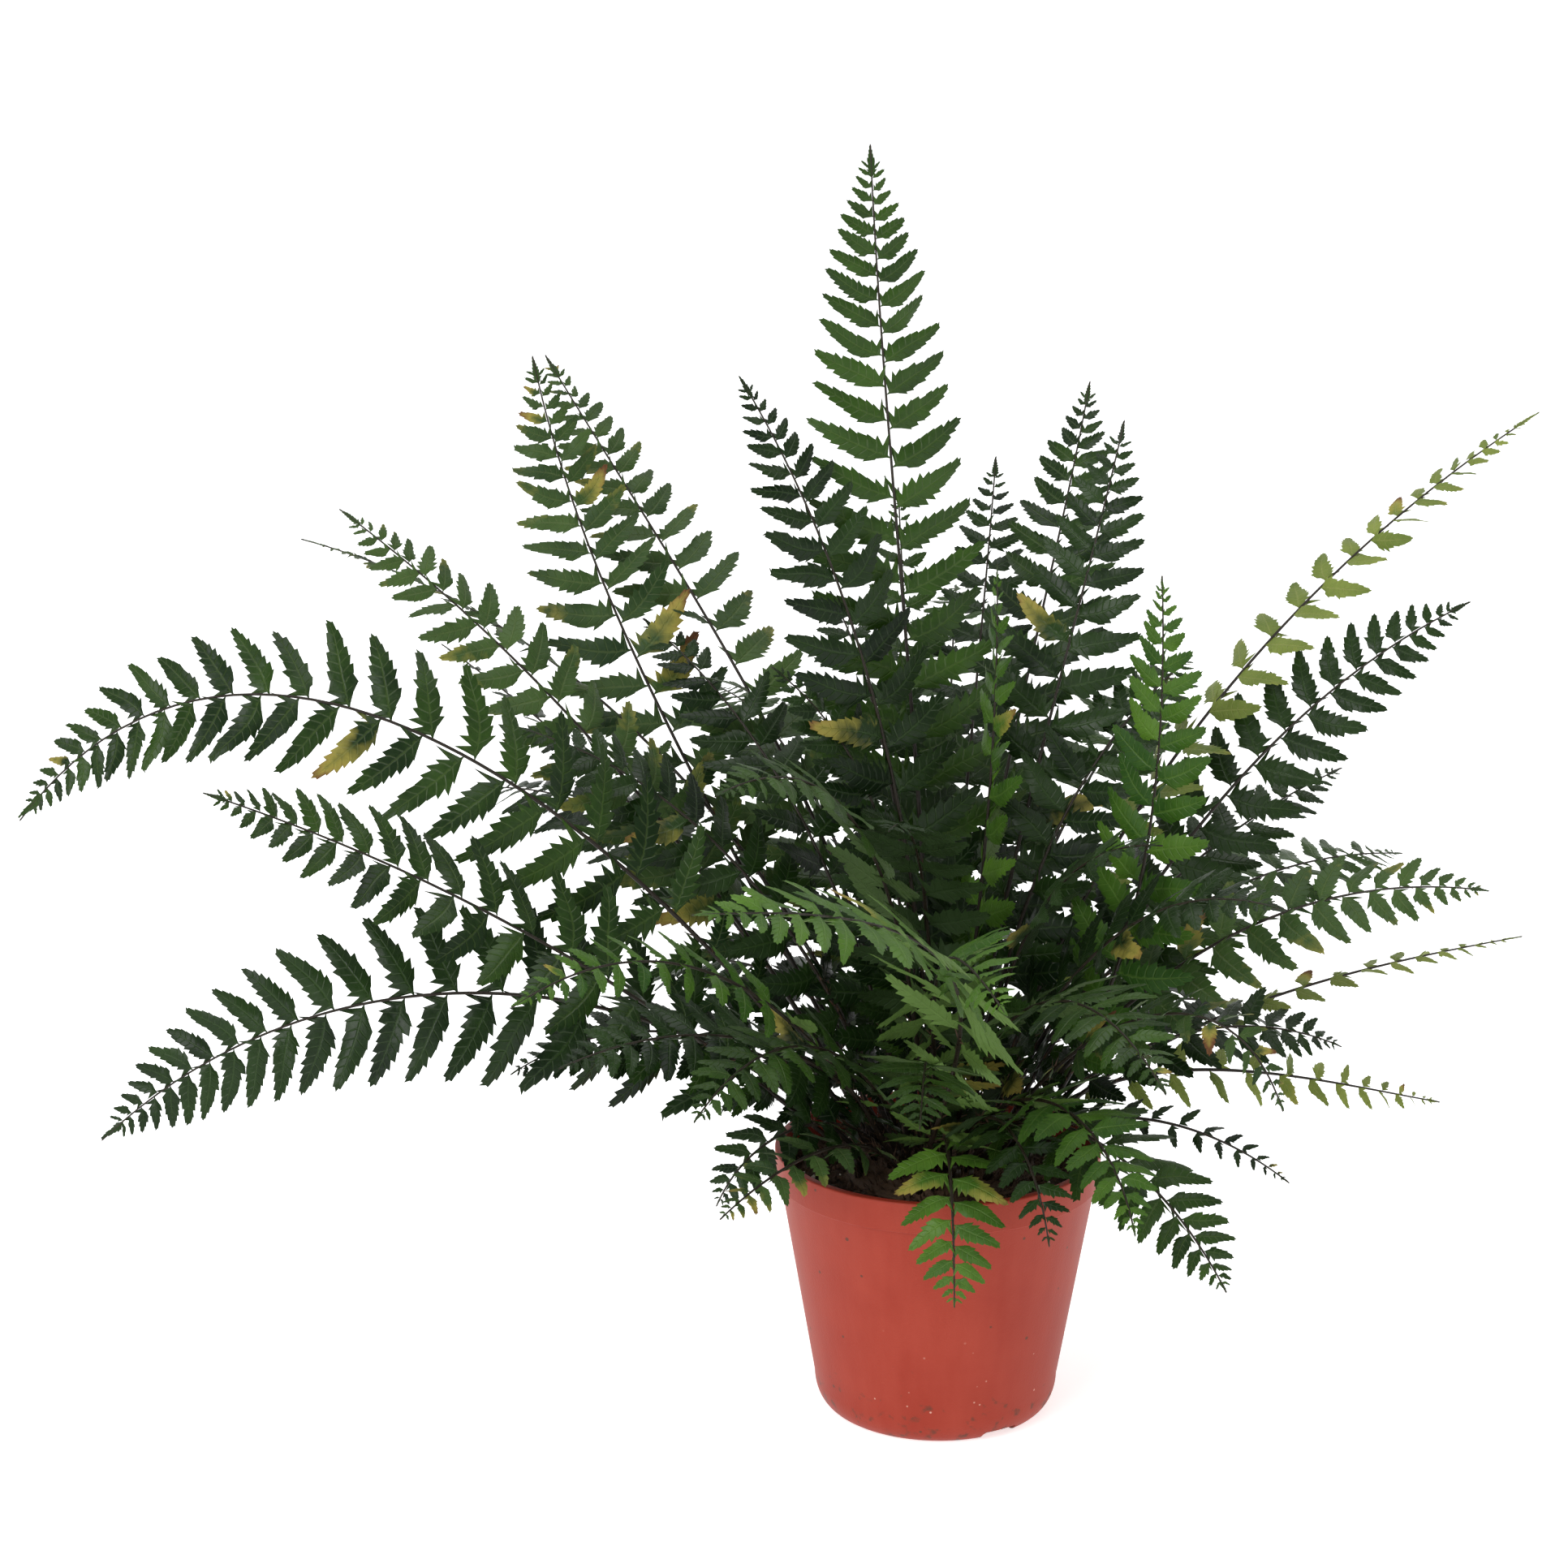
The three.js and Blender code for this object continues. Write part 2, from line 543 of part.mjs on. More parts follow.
function makeFrond(frond) {
  const { rings, pairs, line } = frond;
  const skin = new Skin();
  const indices = rings.map((ring) => ring.corners.map((point) => skin.corner(point)));
  skin.face(indices[0][0], indices[0][2], indices[0][1]);
  for (let i = 0; i + 1 < rings.length; i += 1) {
    const [lower, upper] = [indices[i], indices[i + 1]];
    skin.face(lower[0], lower[1], upper[1]);
    skin.face(lower[0], upper[1], upper[0]);
    const pair = i - stalkSteps;
    for (const side of [1, -1]) {
      const grows = pair >= 0 && pair < pairs;
      const outline = grows ? growLeaflet(frond, rings[i], rings[i + 1], side, pair) : null;
      skinSide(skin, lower, upper, side, outline);
    }
  }
  skinTip(skin, rings.at(-1), indices.at(-1), line.curve.getPointAt(1));
  return skin.geometry();
}

// Seats a frond on the crown where its whole midrib has room, with as little extra bow as it can.
function seatFrond(frond, shifts) {
  for (const bow of extraBows) {
    for (const seatTurn of seatTurns) {
      for (const seatShift of shifts) {
        const line = midribLine(frond, bow, seatTurn, seatShift);
        const samples = midribSamples(line.curve);
        const crosses = samples.some((point) => !clearOfFronds(point, frond.number));
        const hits = samples.slice(2).some((point) => !clearOfPot(point));
        if (!crosses && !hits) {
          take(samples, frond.number);
          return line;
        }
      }
    }
  }
  return null;
}

// ---- the plant in its pot -----------------------------------------------------------------------

const fern = new THREE.Group();

function addPiece(name, geometry, material) {
  const mesh = new THREE.Mesh(geometry, material);
  mesh.name = name;
  fern.add(mesh);
}

addPiece("pot", makePot(), potPlastic);
addPiece("soil", makeSoil(), pottingMix);
addPiece("crown", makeCrown(), rhizome);

const fronds = frondPlan.map((row, number) => {
  const [name, right, back, rise, launch, finish, sway, roll, width, bare, tone] = row;
  return { name, number, right, back, rise, launch, finish, sway, roll, width, bare, tone };
});
for (const frond of fronds) {
  frond.line = seatFrond(frond, seatShifts) ?? seatFrond(frond, farShifts);
  const { shares, pairs } = ringShares(frond, frond.line.curve.getLength());
  frond.pairs = pairs;
  frond.rings = shares.map((share) => ({ share, ...ringAt(frond, frond.line, share) }));
}
for (const frond of fronds) addPiece(frond.name, makeFrond(frond), tones[frond.tone]);

export default fern;
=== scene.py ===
"""A potted holly-type fern: its looks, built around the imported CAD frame.

Every frond is grown again along the midrib that its CAD solid has, with toothed and veined leaflets
in place of the plain blades, and the pot, the soil and the crown get their fine surfaces. Lengths
are in metres unless a name says otherwise; +Z is up and the pot's axis is the Z axis.
"""

import logging
import math
from collections.abc import Iterable
from dataclasses import dataclass, field
from enum import Enum

import bpy
import numpy as np
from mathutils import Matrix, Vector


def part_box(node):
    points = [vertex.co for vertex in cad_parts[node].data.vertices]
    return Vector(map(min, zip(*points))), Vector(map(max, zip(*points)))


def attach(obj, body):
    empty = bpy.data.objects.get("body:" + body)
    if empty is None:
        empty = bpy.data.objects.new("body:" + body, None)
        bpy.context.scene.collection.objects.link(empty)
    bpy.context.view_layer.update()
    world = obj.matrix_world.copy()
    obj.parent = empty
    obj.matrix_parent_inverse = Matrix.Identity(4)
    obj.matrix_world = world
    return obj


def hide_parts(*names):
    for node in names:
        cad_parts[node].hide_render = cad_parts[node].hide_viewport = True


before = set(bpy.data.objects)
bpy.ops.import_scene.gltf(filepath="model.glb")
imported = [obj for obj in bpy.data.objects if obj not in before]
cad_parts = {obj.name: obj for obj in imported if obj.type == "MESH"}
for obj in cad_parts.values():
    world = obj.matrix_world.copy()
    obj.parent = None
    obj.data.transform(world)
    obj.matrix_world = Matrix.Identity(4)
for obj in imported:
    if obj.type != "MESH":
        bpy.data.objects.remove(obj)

Array = np.ndarray
Draws = np.random.Generator
Material = bpy.types.Material

LOG = logging.getLogger("fern")
MM = 0.001
TINY = 1e-12
TURN = 2.0 * math.pi
UP = np.array([0.0, 0.0, 1.0])


# ---- vector helpers ----


def unit(vectors: Array) -> Array:
    """Vectors of length one, each divided by its own length.

    Args:
        vectors: an array whose last axis holds x, y and z.
    Returns:
        The array of the same shape, with every vector of length one.
    """
    return vectors / np.maximum(np.linalg.norm(vectors, axis=-1, keepdims=True), TINY)


def dots(first: Array, second: Array) -> Array:
    """Scalar products along the last axis, which is kept with length one."""
    return np.sum(first * second, axis=-1, keepdims=True)


def level(angles: float | Array) -> Array:
    """Level directions at angles from the X axis, in radians: cosine, sine and 0."""
    return np.stack([np.cos(angles), np.sin(angles), np.zeros(np.shape(angles))], -1)


def smoothstep(low: float, high: float, values: Array) -> Array:
    """A soft step: 0 up to low, 1 from high on, and 3t^2 - 2t^3 between them."""
    t = np.clip((values - low) / (high - low), 0.0, 1.0)
    return t * t * (3.0 - 2.0 * t)


def waves(points: Array, wavelength: float, count: int, rng: Draws) -> Array:
    """Smooth random relief: the mean of plane sine waves of random direction and phase.

    Args:
        points: positions, in metres, along the last axis.
        wavelength: the mean length of a wave; each wave's own is 0.6 to 1.6 times that.
        count: how many waves are added up.
        rng: the random draws.
    Returns:
        One height for each point, mostly between -1 and 1.
    """
    directions = unit(rng.normal(size=(count, points.shape[-1])))
    pitch = TURN / (wavelength * rng.uniform(0.6, 1.6, count))
    phases = rng.uniform(0.0, TURN, count)
    return np.sin((points @ directions.T) * pitch + phases).sum(-1) * math.sqrt(2.0 / count)


# ---- meshes ----


@dataclass
class Skin:
    """One closed surface, or many alike: corners, faces and what is known of them.

    Attributes:
        corners: positions, one row for each corner.
        quads: rows of four corner numbers.
        triangles: rows of three corner numbers.
        uv: a place on the surface's own map for each corner.
        tone: a shade for each corner, from -1, dark, to 1, light.
        wither: how dry each corner is, from 0 to 1.
        crisp: the corners that lie on a sharp edge.
        finish: which of the piece's finishes covers it.
        under: the quads that face down.
    """

    corners: Array
    quads: Array
    triangles: Array
    uv: Array
    tone: Array
    wither: Array
    crisp: Array
    finish: int = 0
    under: Array | None = None


def plain_skin(corners: Array, quads: Array, triangles: Array, finish: int = 0) -> Skin:
    """A skin with no pattern of its own: even tone, fresh, soft-edged.

    Args:
        corners: positions, one row for each corner.
        quads: rows of four corner numbers.
        triangles: rows of three corner numbers.
        finish: which of the piece's finishes covers it.
    Returns:
        The skin.
    """
    count = len(corners)
    zeros = np.zeros(count)
    return Skin(corners, quads, triangles, np.zeros((count, 2)), zeros, zeros, zeros > 0, finish)


def shown(name: str, data: bpy.types.ID) -> bpy.types.Object:
    """An object in the scene that shows a mesh, a lamp or a camera.

    Args:
        name: the object's name.
        data: what it shows.
    Returns:
        The object.
    """
    thing = bpy.data.objects.new(name, data)
    bpy.context.scene.collection.objects.link(thing)
    return thing


class Piece:
    """Skins gathered into one named mesh object that rides on the root body."""

    def __init__(self, name: str) -> None:
        """Starts an empty piece with that name."""
        self.name = name
        self.skins: list[Skin] = []

    def add(self, *skins: Skin) -> None:
        """Adds closed surfaces to the piece."""
        self.skins.extend(skins)

    def build(self, finishes: Iterable[Material], slot: str, *nodes: str) -> bpy.types.Object:
        """Makes the mesh object, hides the CAD nodes that it replaces and logs the record's material slot.

        Args:
            finishes: the materials, in the order that the skins number them.
            slot: the record's material slot.
            nodes: the CAD nodes that it replaces.
        Returns:
            The object, riding on the root body.
        """
        starts = np.cumsum([0] + [len(s.corners) for s in self.skins])
        corners = np.concatenate([s.corners for s in self.skins])
        quads = np.concatenate([s.quads + start for s, start in zip(self.skins, starts)])
        triangles = np.concatenate([s.triangles + start for s, start in zip(self.skins, starts)])
        mesh = bpy.data.meshes.new(self.name)
        loops = np.concatenate([quads.ravel(), triangles.ravel()])
        sizes = np.concatenate([np.full(len(quads), 4), np.full(len(triangles), 3)])
        mesh.vertices.add(len(corners))
        mesh.vertices.foreach_set("co", corners.astype(np.float32).ravel())
        mesh.loops.add(len(loops))
        mesh.loops.foreach_set("vertex_index", loops.astype(np.int32))
        mesh.polygons.add(len(sizes))
        mesh.polygons.foreach_set("loop_start", (np.cumsum(sizes) - sizes).astype(np.int32))
        mesh.update(calc_edges=True)
        self._describe(mesh, loops)
        for material in finishes:
            mesh.materials.append(material)
        piece = shown(self.name, mesh)
        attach(piece, "root")
        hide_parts(*nodes)
        LOG.info("%s: %d faces, slot %s", self.name, len(sizes), slot)
        return piece

    def _describe(self, mesh: bpy.types.Mesh, loops: Array) -> None:
        """Writes the finish, the map, the values and the sharp edges into the mesh.

        Args:
            mesh: the mesh, with its corners and faces in place.
            loops: the corner number of each face corner.
        """
        by_quads = [np.full(len(s.quads), s.finish) for s in self.skins]
        by_triangles = [np.full(len(s.triangles), s.finish) for s in self.skins]
        finish = np.concatenate(by_quads + by_triangles)
        mesh.polygons.foreach_set("material_index", finish.astype(np.int32))
        under = [np.zeros(len(s.quads)) if s.under is None else s.under for s in self.skins]
        under.append(np.zeros(sum(len(s.triangles) for s in self.skins)))
        layer = mesh.attributes.new("underside", "FLOAT", "FACE")
        layer.data.foreach_set("value", np.concatenate(under).astype(np.float32))
        for label in ("tone", "wither"):
            values = np.concatenate([getattr(s, label) for s in self.skins])
            layer = mesh.attributes.new(label, "FLOAT", "POINT")
            layer.data.foreach_set("value", values.astype(np.float32))
        uv = np.concatenate([s.uv for s in self.skins])
        mesh.uv_layers.new(name="surface").data.foreach_set("uv", uv[loops].astype(np.float32).ravel())
        mesh.polygons.foreach_set("use_smooth", np.ones(len(finish), bool))
        crisp = np.concatenate([s.crisp for s in self.skins])
        ends = np.empty(2 * len(mesh.edges), np.int32)
        mesh.edges.foreach_get("vertices", ends)
        sharp = mesh.attributes.new("sharp_edge", "BOOLEAN", "EDGE")
        sharp.data.foreach_set("value", crisp[ends.reshape(-1, 2)].all(1))
        mesh.update()


def tube(rings: Array, start: Array, end: Array, finish: int = 0) -> Skin:
    """A closed tube: quads between neighbouring rings, and a fan of triangles at each end.

    Args:
        rings: corners as [ring, place on the ring, xyz], counter-clockwise seen from the far end.
        start: the point that closes the first ring.
        end: the point that closes the last ring.
        finish: which of the piece's finishes covers it.
    Returns:
        The skin, mapped by place around the tube and place along it.
    """
    count, sides = rings.shape[:2]
    grid = np.arange(count * sides).reshape(count, sides)
    turned = np.roll(grid, -1, axis=1)
    quads = np.stack([grid[:-1], turned[:-1], turned[1:], grid[1:]], -1).reshape(-1, 4)
    first, last = count * sides, count * sides + 1
    fans = [
        np.stack([np.full(sides, first), turned[0], grid[0]], -1),
        np.stack([np.full(sides, last), grid[-1], turned[-1]], -1),
    ]
    corners = np.concatenate([rings.reshape(-1, 3), [start, end]])
    skin = plain_skin(corners, quads, np.concatenate(fans), finish)
    around, along = np.meshgrid(np.arange(sides) / sides, np.linspace(0.0, 1.0, count))
    skin.uv[:first] = np.stack([around.ravel(), along.ravel()], -1)
    return skin


def slivers(roots: Array, growth: Array, outward: Array, length: Array,
            width: float, finish: int = 0) -> Skin:
    """Papery scales: each a thin closed wedge of four faces.

    A scale runs from its root along its growth direction, as wide as given at the root and pointed
    at the end, and is a sixth as thick as it is wide.

    Args:
        roots: where the scales are attached.
        growth: the directions in which they point.
        outward: the directions away from what they grow on.
        length: the length of each.
        width: half the width of all of them.
        finish: which of the piece's finishes covers them.
    Returns:
        One skin with all the scales.
    """
    sideways = unit(np.cross(outward, growth))
    left = roots - sideways * width
    right = roots + sideways * width
    tip = roots + growth * length[:, None]
    back = roots + outward * width / 3.0
    corners = np.stack([left, right, tip, back], 1)
    faces = np.array([[0, 2, 1], [0, 1, 3], [1, 2, 3], [2, 0, 3]])
    base = 4 * np.arange(len(roots))[:, None, None]
    skin = plain_skin(corners.reshape(-1, 3), np.zeros((0, 4), int), (faces + base).reshape(-1, 3), finish)
    skin.crisp[:] = True
    return skin


# ---- finishes ----


Value = bpy.types.NodeSocket | float | tuple
Colour = tuple[float, float, float]

# The Mix node has sockets for each kind of value; these are its colour inputs and its colour output.
FIRST_COLOUR = 6
SECOND_COLOUR = 7
MIXED_COLOUR = 2


class Recipe:
    """A material's nodes, put together by short calls that each return a socket."""

    def __init__(self, name: str) -> None:
        """Starts a material with one principled shader.

        Args:
            name: the material's name.
        """
        self.material = bpy.data.materials.new(name)
        self.material.use_nodes = True
        self.tree = self.material.node_tree
        self.tree.nodes.clear()
        self.shader = self.tree.nodes.new("ShaderNodeBsdfPrincipled")
        output = self.tree.nodes.new("ShaderNodeOutputMaterial")
        self.tree.links.new(self.shader.outputs["BSDF"], output.inputs["Surface"])
        self.place = self.tree.nodes.new("ShaderNodeTexCoord").outputs["Object"]

    def give(self, socket: bpy.types.NodeSocket, value: Value) -> None:
        """Links a socket to another one, or sets its number or colour.

        Args:
            socket: the input socket.
            value: what it gets.
        """
        if isinstance(value, bpy.types.NodeSocket):
            self.tree.links.new(value, socket)
        elif isinstance(value, tuple) and len(value) == 3 and socket.type == "RGBA":
            socket.default_value = (*value, 1.0)
        else:
            socket.default_value = value

    def surface(self, **values: Value) -> None:
        """Sets the shader's sockets; underscores stand for the spaces in their names.

        Args:
            values: what each socket gets.
        """
        for label, value in values.items():
            self.give(self.shader.inputs[label.replace("_", " ")], value)

    def math(self, operation: str, first: Value, second: Value = 0.0, third: Value = 0.0) -> Value:
        """One sum, product or other operation on numbers.

        Args:
            operation: the Math node's name for it.
            first: the first number.
            second: the second, where it takes one.
            third: the third, where it takes one.
        Returns:
            The result.
        """
        node = self.tree.nodes.new("ShaderNodeMath")
        node.operation = operation
        for socket, value in zip(node.inputs, (first, second, third)):
            self.give(socket, value)
        return node.outputs[0]

    def weighed(self, value: Value, factor: Value, base: Value) -> Value:
        """A value times a factor, plus a base."""
        return self.math("MULTIPLY_ADD", value, factor, base)

    def varied(self, base: Value, cloud: Value, amount: float) -> Value:
        """A value that a noise moves up and down, by half the amount either way at most."""
        return self.weighed(self.math("SUBTRACT", cloud, 0.5), amount, base)

    def scaled(self, value: Value, low: float, high: float,
               to_low: float = 0.0, to_high: float = 1.0) -> Value:
        """A value carried from one range to another, and held inside the new one.

        Args:
            value: the value.
            low: the start of its range.
            high: the end of its range.
            to_low: what the start becomes.
            to_high: what the end becomes.
        Returns:
            The new value.
        """
        node = self.tree.nodes.new("ShaderNodeMapRange")
        for label, number in (("Value", value), ("From Min", low), ("From Max", high),
                              ("To Min", to_low), ("To Max", to_high)):
            self.give(node.inputs[label], number)
        return node.outputs[0]

    def noise(self, size: float, detail: float = 3.0, vector: Value | None = None) -> Value:
        """Cloudy noise.

        Args:
            size: metres across a patch, about.
            detail: how many finer layers it has.
            vector: where it is read; the place on the piece if not given.
        Returns:
            The noise, from 0 to 1.
        """
        node = self.tree.nodes.new("ShaderNodeTexNoise")
        self.give(node.inputs["Vector"], self.place if vector is None else vector)
        node.inputs["Scale"].default_value = 1.0 / size
        node.inputs["Detail"].default_value = detail
        return node.outputs["Fac"]

    def cells(self, size: float) -> Value:
        """Cell noise.

        Args:
            size: metres across a cell, about.
        Returns:
            The distance to the nearest cell's middle, in cells.
        """
        node = self.tree.nodes.new("ShaderNodeTexVoronoi")
        self.give(node.inputs["Vector"], self.place)
        node.inputs["Scale"].default_value = 1.0 / size
        return node.outputs["Distance"]

    def stretched(self, scale: Colour) -> Value:
        """The place on the piece, with each axis scaled.

        Args:
            scale: the factors of x, y and z; under 1 draws a pattern out along that axis.
        Returns:
            The scaled place.
        """
        node = self.tree.nodes.new("ShaderNodeMapping")
        self.give(node.inputs["Vector"], self.place)
        node.inputs["Scale"].default_value = scale
        return node.outputs[0]

    def mix(self, share: Value, first: Value, second: Value) -> Value:
        """A colour between two others.

        Args:
            share: 0 for the first, 1 for the second.
            first: a colour.
            second: a colour.
        Returns:
            The mixed colour.
        """
        node = self.tree.nodes.new("ShaderNodeMix")
        node.data_type = "RGBA"
        self.give(node.inputs["Factor"], share)
        self.give(node.inputs[FIRST_COLOUR], first)
        self.give(node.inputs[SECOND_COLOUR], second)
        return node.outputs[MIXED_COLOUR]

    def value_of(self, name: str) -> Value:
        """A number that the mesh holds.

        Args:
            name: the attribute's name.
        Returns:
            The number.
        """
        node = self.tree.nodes.new("ShaderNodeAttribute")
        node.attribute_name = name
        return node.outputs["Fac"]

    def parts(self, vector: Value) -> tuple[Value, Value, Value]:
        """The x, y and z of a vector.

        Args:
            vector: the vector.
        Returns:
            Its three numbers.
        """
        node = self.tree.nodes.new("ShaderNodeSeparateXYZ")
        self.give(node.inputs[0], vector)
        return node.outputs[0], node.outputs[1], node.outputs[2]

    def map_place(self) -> Value:
        """The place on the piece's own map.

        Returns:
            Two numbers; the third is 0.
        """
        node = self.tree.nodes.new("ShaderNodeUVMap")
        node.uv_map = "surface"
        return node.outputs["UV"]

    def relief(self, height: Value, depth: float, strength: float = 1.0) -> None:
        """Raises the shader's surface by a height map.

        Args:
            height: the map, from 0 to 1.
            depth: metres between the map's 0 and 1.
            strength: the share of it that shows.
        """
        node = self.tree.nodes.new("ShaderNodeBump")
        self.give(node.inputs["Height"], height)
        node.inputs["Distance"].default_value = depth
        node.inputs["Strength"].default_value = strength
        self.surface(Normal=node.outputs["Normal"])


class Finish:
    """What all finishes share: a name for the material, and a recipe that dress fills in."""

    def material(self, name: str) -> Material:
        """Builds the finish's nodes.

        Args:
            name: the material's name.
        Returns:
            The material.
        """
        mix = Recipe(name)
        self.dress(mix)
        return mix.material

    def dress(self, mix: Recipe) -> None:
        """Puts the finish together; each finish has its own way."""
        raise NotImplementedError


class Tone(Enum):
    """The colours that fronds come in, by the record's material slot."""

    MATURE = "frond_mature"
    DARK = "frond_dark"
    YOUNG = "frond_young"
    OLIVE = "frond_olive"
    PALE = "frond_pale"


@dataclass(frozen=True)
class LeafFinish(Finish):
    """A leathery leaf: mottled green, pale veins, a duller underside, dry at its tips.

    Attributes:
        shade: the colour of the darkest leaflets.
        light: the colour of the lightest.
        vein: the colour of the veins.
        underside: the colour beneath.
        gloss: the roughness of a fresh leaf; lower is shinier.
        yellow: the colour of a drying leaf.
        brown: the colour of a dry one.
        patch_size: metres across a lighter or darker patch.
        patching: how strongly patches change the colour.
        mottle_size: metres across a fine mottle.
        mottling: how strongly mottles change the colour.
        vein_slope: how many veins a side vein runs forward on its way to the margin.
        vein_width: half a side vein's width, in the distance between two.
        vein_strength: how much of the vein's colour shows.
        beneath_strength: how much of the underside's colour shows there.
        dry_patch_size: metres across a dry patch.
        turns_yellow: the dryness at which yellow starts, and where it is full.
        turns_brown: the dryness at which brown starts, and where it is full.
        relief_depth: metres from a vein's groove to the blade between two.
    """

    shade: Colour
    light: Colour
    vein: Colour
    underside: Colour
    gloss: float
    yellow: Colour = (0.30, 0.26, 0.05)
    brown: Colour = (0.115, 0.048, 0.018)
    patch_size: float = 14.0 * MM
    patching: float = 1.2
    mottle_size: float = 1.6 * MM
    mottling: float = 0.35
    vein_slope: float = 0.7
    vein_width: float = 0.11
    vein_strength: float = 0.28
    beneath_strength: float = 0.75
    dry_patch_size: float = 5.0 * MM
    turns_yellow: tuple[float, float] = (0.22, 0.6)
    turns_brown: tuple[float, float] = (0.5, 0.85)
    relief_depth: float = 0.5 * MM

    def veins(self, mix: Recipe) -> Value:
        """The rib and the side veins, which run forward as straight lines from it.

        Args:
            mix: the leaf's recipe.
        Returns:
            1 on a vein, 0 between two.
        """
        along, across, _ = mix.parts(mix.map_place())
        from_rib = mix.math("ABSOLUTE", mix.math("SUBTRACT", across, 0.5))
        from_rib = mix.math("MULTIPLY", from_rib, 2.0)
        lateral = mix.math("FRACT", mix.weighed(from_rib, -self.vein_slope, along))
        lateral = mix.math("ABSOLUTE", mix.math("SUBTRACT", lateral, 0.5))
        side_vein = mix.scaled(lateral, 0.0, self.vein_width, 1.0, 0.0)
        rib = mix.scaled(from_rib, 0.03, 0.12, 1.0, 0.0)
        return mix.math("MAXIMUM", side_vein, rib)

    def dress(self, mix: Recipe) -> None:
        """Puts the colour, gloss and relief of the leaf together.

        Args:
            mix: the recipe to fill in.
        """
        vein = self.veins(mix)
        mottle = mix.noise(self.mottle_size, 2.0)
        share = mix.weighed(mix.value_of("tone"), 0.48, 0.45)
        share = mix.varied(share, mix.noise(self.patch_size), self.patching)
        share = mix.varied(share, mottle, self.mottling)
        colour = mix.mix(mix.scaled(share, 0.0, 1.0), self.shade, self.light)
        colour = mix.mix(mix.math("MULTIPLY", vein, self.vein_strength), colour, self.vein)
        beneath = mix.value_of("underside")
        colour = mix.mix(mix.math("MULTIPLY", beneath, self.beneath_strength), colour, self.underside)
        dry = mix.varied(mix.value_of("wither"), mix.noise(self.dry_patch_size, 4.0), 0.5)
        colour = mix.mix(mix.scaled(dry, *self.turns_yellow), colour, self.yellow)
        colour = mix.mix(mix.scaled(dry, *self.turns_brown), colour, self.brown)
        rough = mix.weighed(mottle, 0.16, self.gloss - 0.08)
        rough = mix.weighed(beneath, 0.16, rough)
        rough = mix.weighed(mix.scaled(dry, 0.2, 0.8), 0.25, rough)
        height = mix.weighed(vein, -0.55, mix.math("MULTIPLY", mottle, 0.45))
        mix.surface(Base_Color=colour, Roughness=rough, Specular_IOR_Level=0.20)
        mix.relief(height, self.relief_depth, 0.6)


LEAVES = {
    Tone.MATURE: LeafFinish((0.0048, 0.0170, 0.0024), (0.029, 0.070, 0.0068), (0.076, 0.12, 0.028),
                            (0.036, 0.064, 0.016), 0.36),
    Tone.DARK: LeafFinish((0.0026, 0.0096, 0.0019), (0.0150, 0.0385, 0.0055), (0.042, 0.080, 0.020),
                          (0.023, 0.046, 0.0125), 0.34),
    Tone.YOUNG: LeafFinish((0.018, 0.058, 0.0060), (0.068, 0.148, 0.0140), (0.12, 0.21, 0.040),
                           (0.072, 0.125, 0.026), 0.40),
    Tone.OLIVE: LeafFinish((0.0100, 0.0300, 0.0062), (0.044, 0.086, 0.017), (0.095, 0.13, 0.038),
                           (0.055, 0.082, 0.028), 0.48),
    Tone.PALE: LeafFinish((0.085, 0.130, 0.020), (0.215, 0.262, 0.052), (0.30, 0.31, 0.10),
                          (0.19, 0.225, 0.072), 0.55),
}


@dataclass(frozen=True)
class StalkFinish(Finish):
    """A wiry midrib: dark brown, streaked along its length, green towards the leaf.

    Attributes:
        dark: the colour at its foot.
        light: the colour towards its tip.
        streak_size: metres across a streak.
    """

    dark: Colour = (0.007, 0.004, 0.0025)
    light: Colour = (0.026, 0.019, 0.008)
    streak_size: float = 1.2 * MM

    def dress(self, mix: Recipe) -> None:
        """Puts the colour, gloss and relief of the midrib together.

        Args:
            mix: the recipe to fill in.
        """
        _, along, _ = mix.parts(mix.map_place())
        streaks = mix.noise(self.streak_size, 4.0)
        share = mix.weighed(streaks, 0.9, mix.weighed(along, 0.35, -0.3))
        colour = mix.mix(mix.scaled(share, 0.0, 1.0), self.dark, self.light)
        mix.surface(Base_Color=colour, Roughness=0.45, Specular_IOR_Level=0.3)
        mix.relief(streaks, 0.2 * MM)


@dataclass(frozen=True)
class ScaleFinish(Finish):
    """Papery brown scales and the stumps between them, their own brown darkened further as painted shade
    under the fronds.

    Attributes:
        dark: the colour of the darkest patches, darker than the scales' own brown as painted shade.
        light: the colour of the lightest, also darkened as painted shade.
        patch_size: metres across a patch.
        grain_size: metres across the paper's grain.
    """

    # Both colours are the scales' own brown darkened further: painted shade under the fronds.
    dark: Colour = (0.030, 0.014, 0.006)
    light: Colour = (0.085, 0.044, 0.019)
    patch_size: float = 6.0 * MM
    grain_size: float = 1.1 * MM

    def dress(self, mix: Recipe) -> None:
        """Puts the colour, gloss and relief of the scales together.

        Args:
            mix: the recipe to fill in.
        """
        grain = mix.noise(self.grain_size, 4.0)
        share = mix.weighed(mix.noise(self.patch_size), 0.8, mix.math("MULTIPLY", grain, 0.7))
        colour = mix.mix(mix.scaled(share, 0.45, 1.05), self.dark, self.light)
        mix.surface(Base_Color=colour, Roughness=0.75)
        mix.relief(grain, 0.4 * MM)


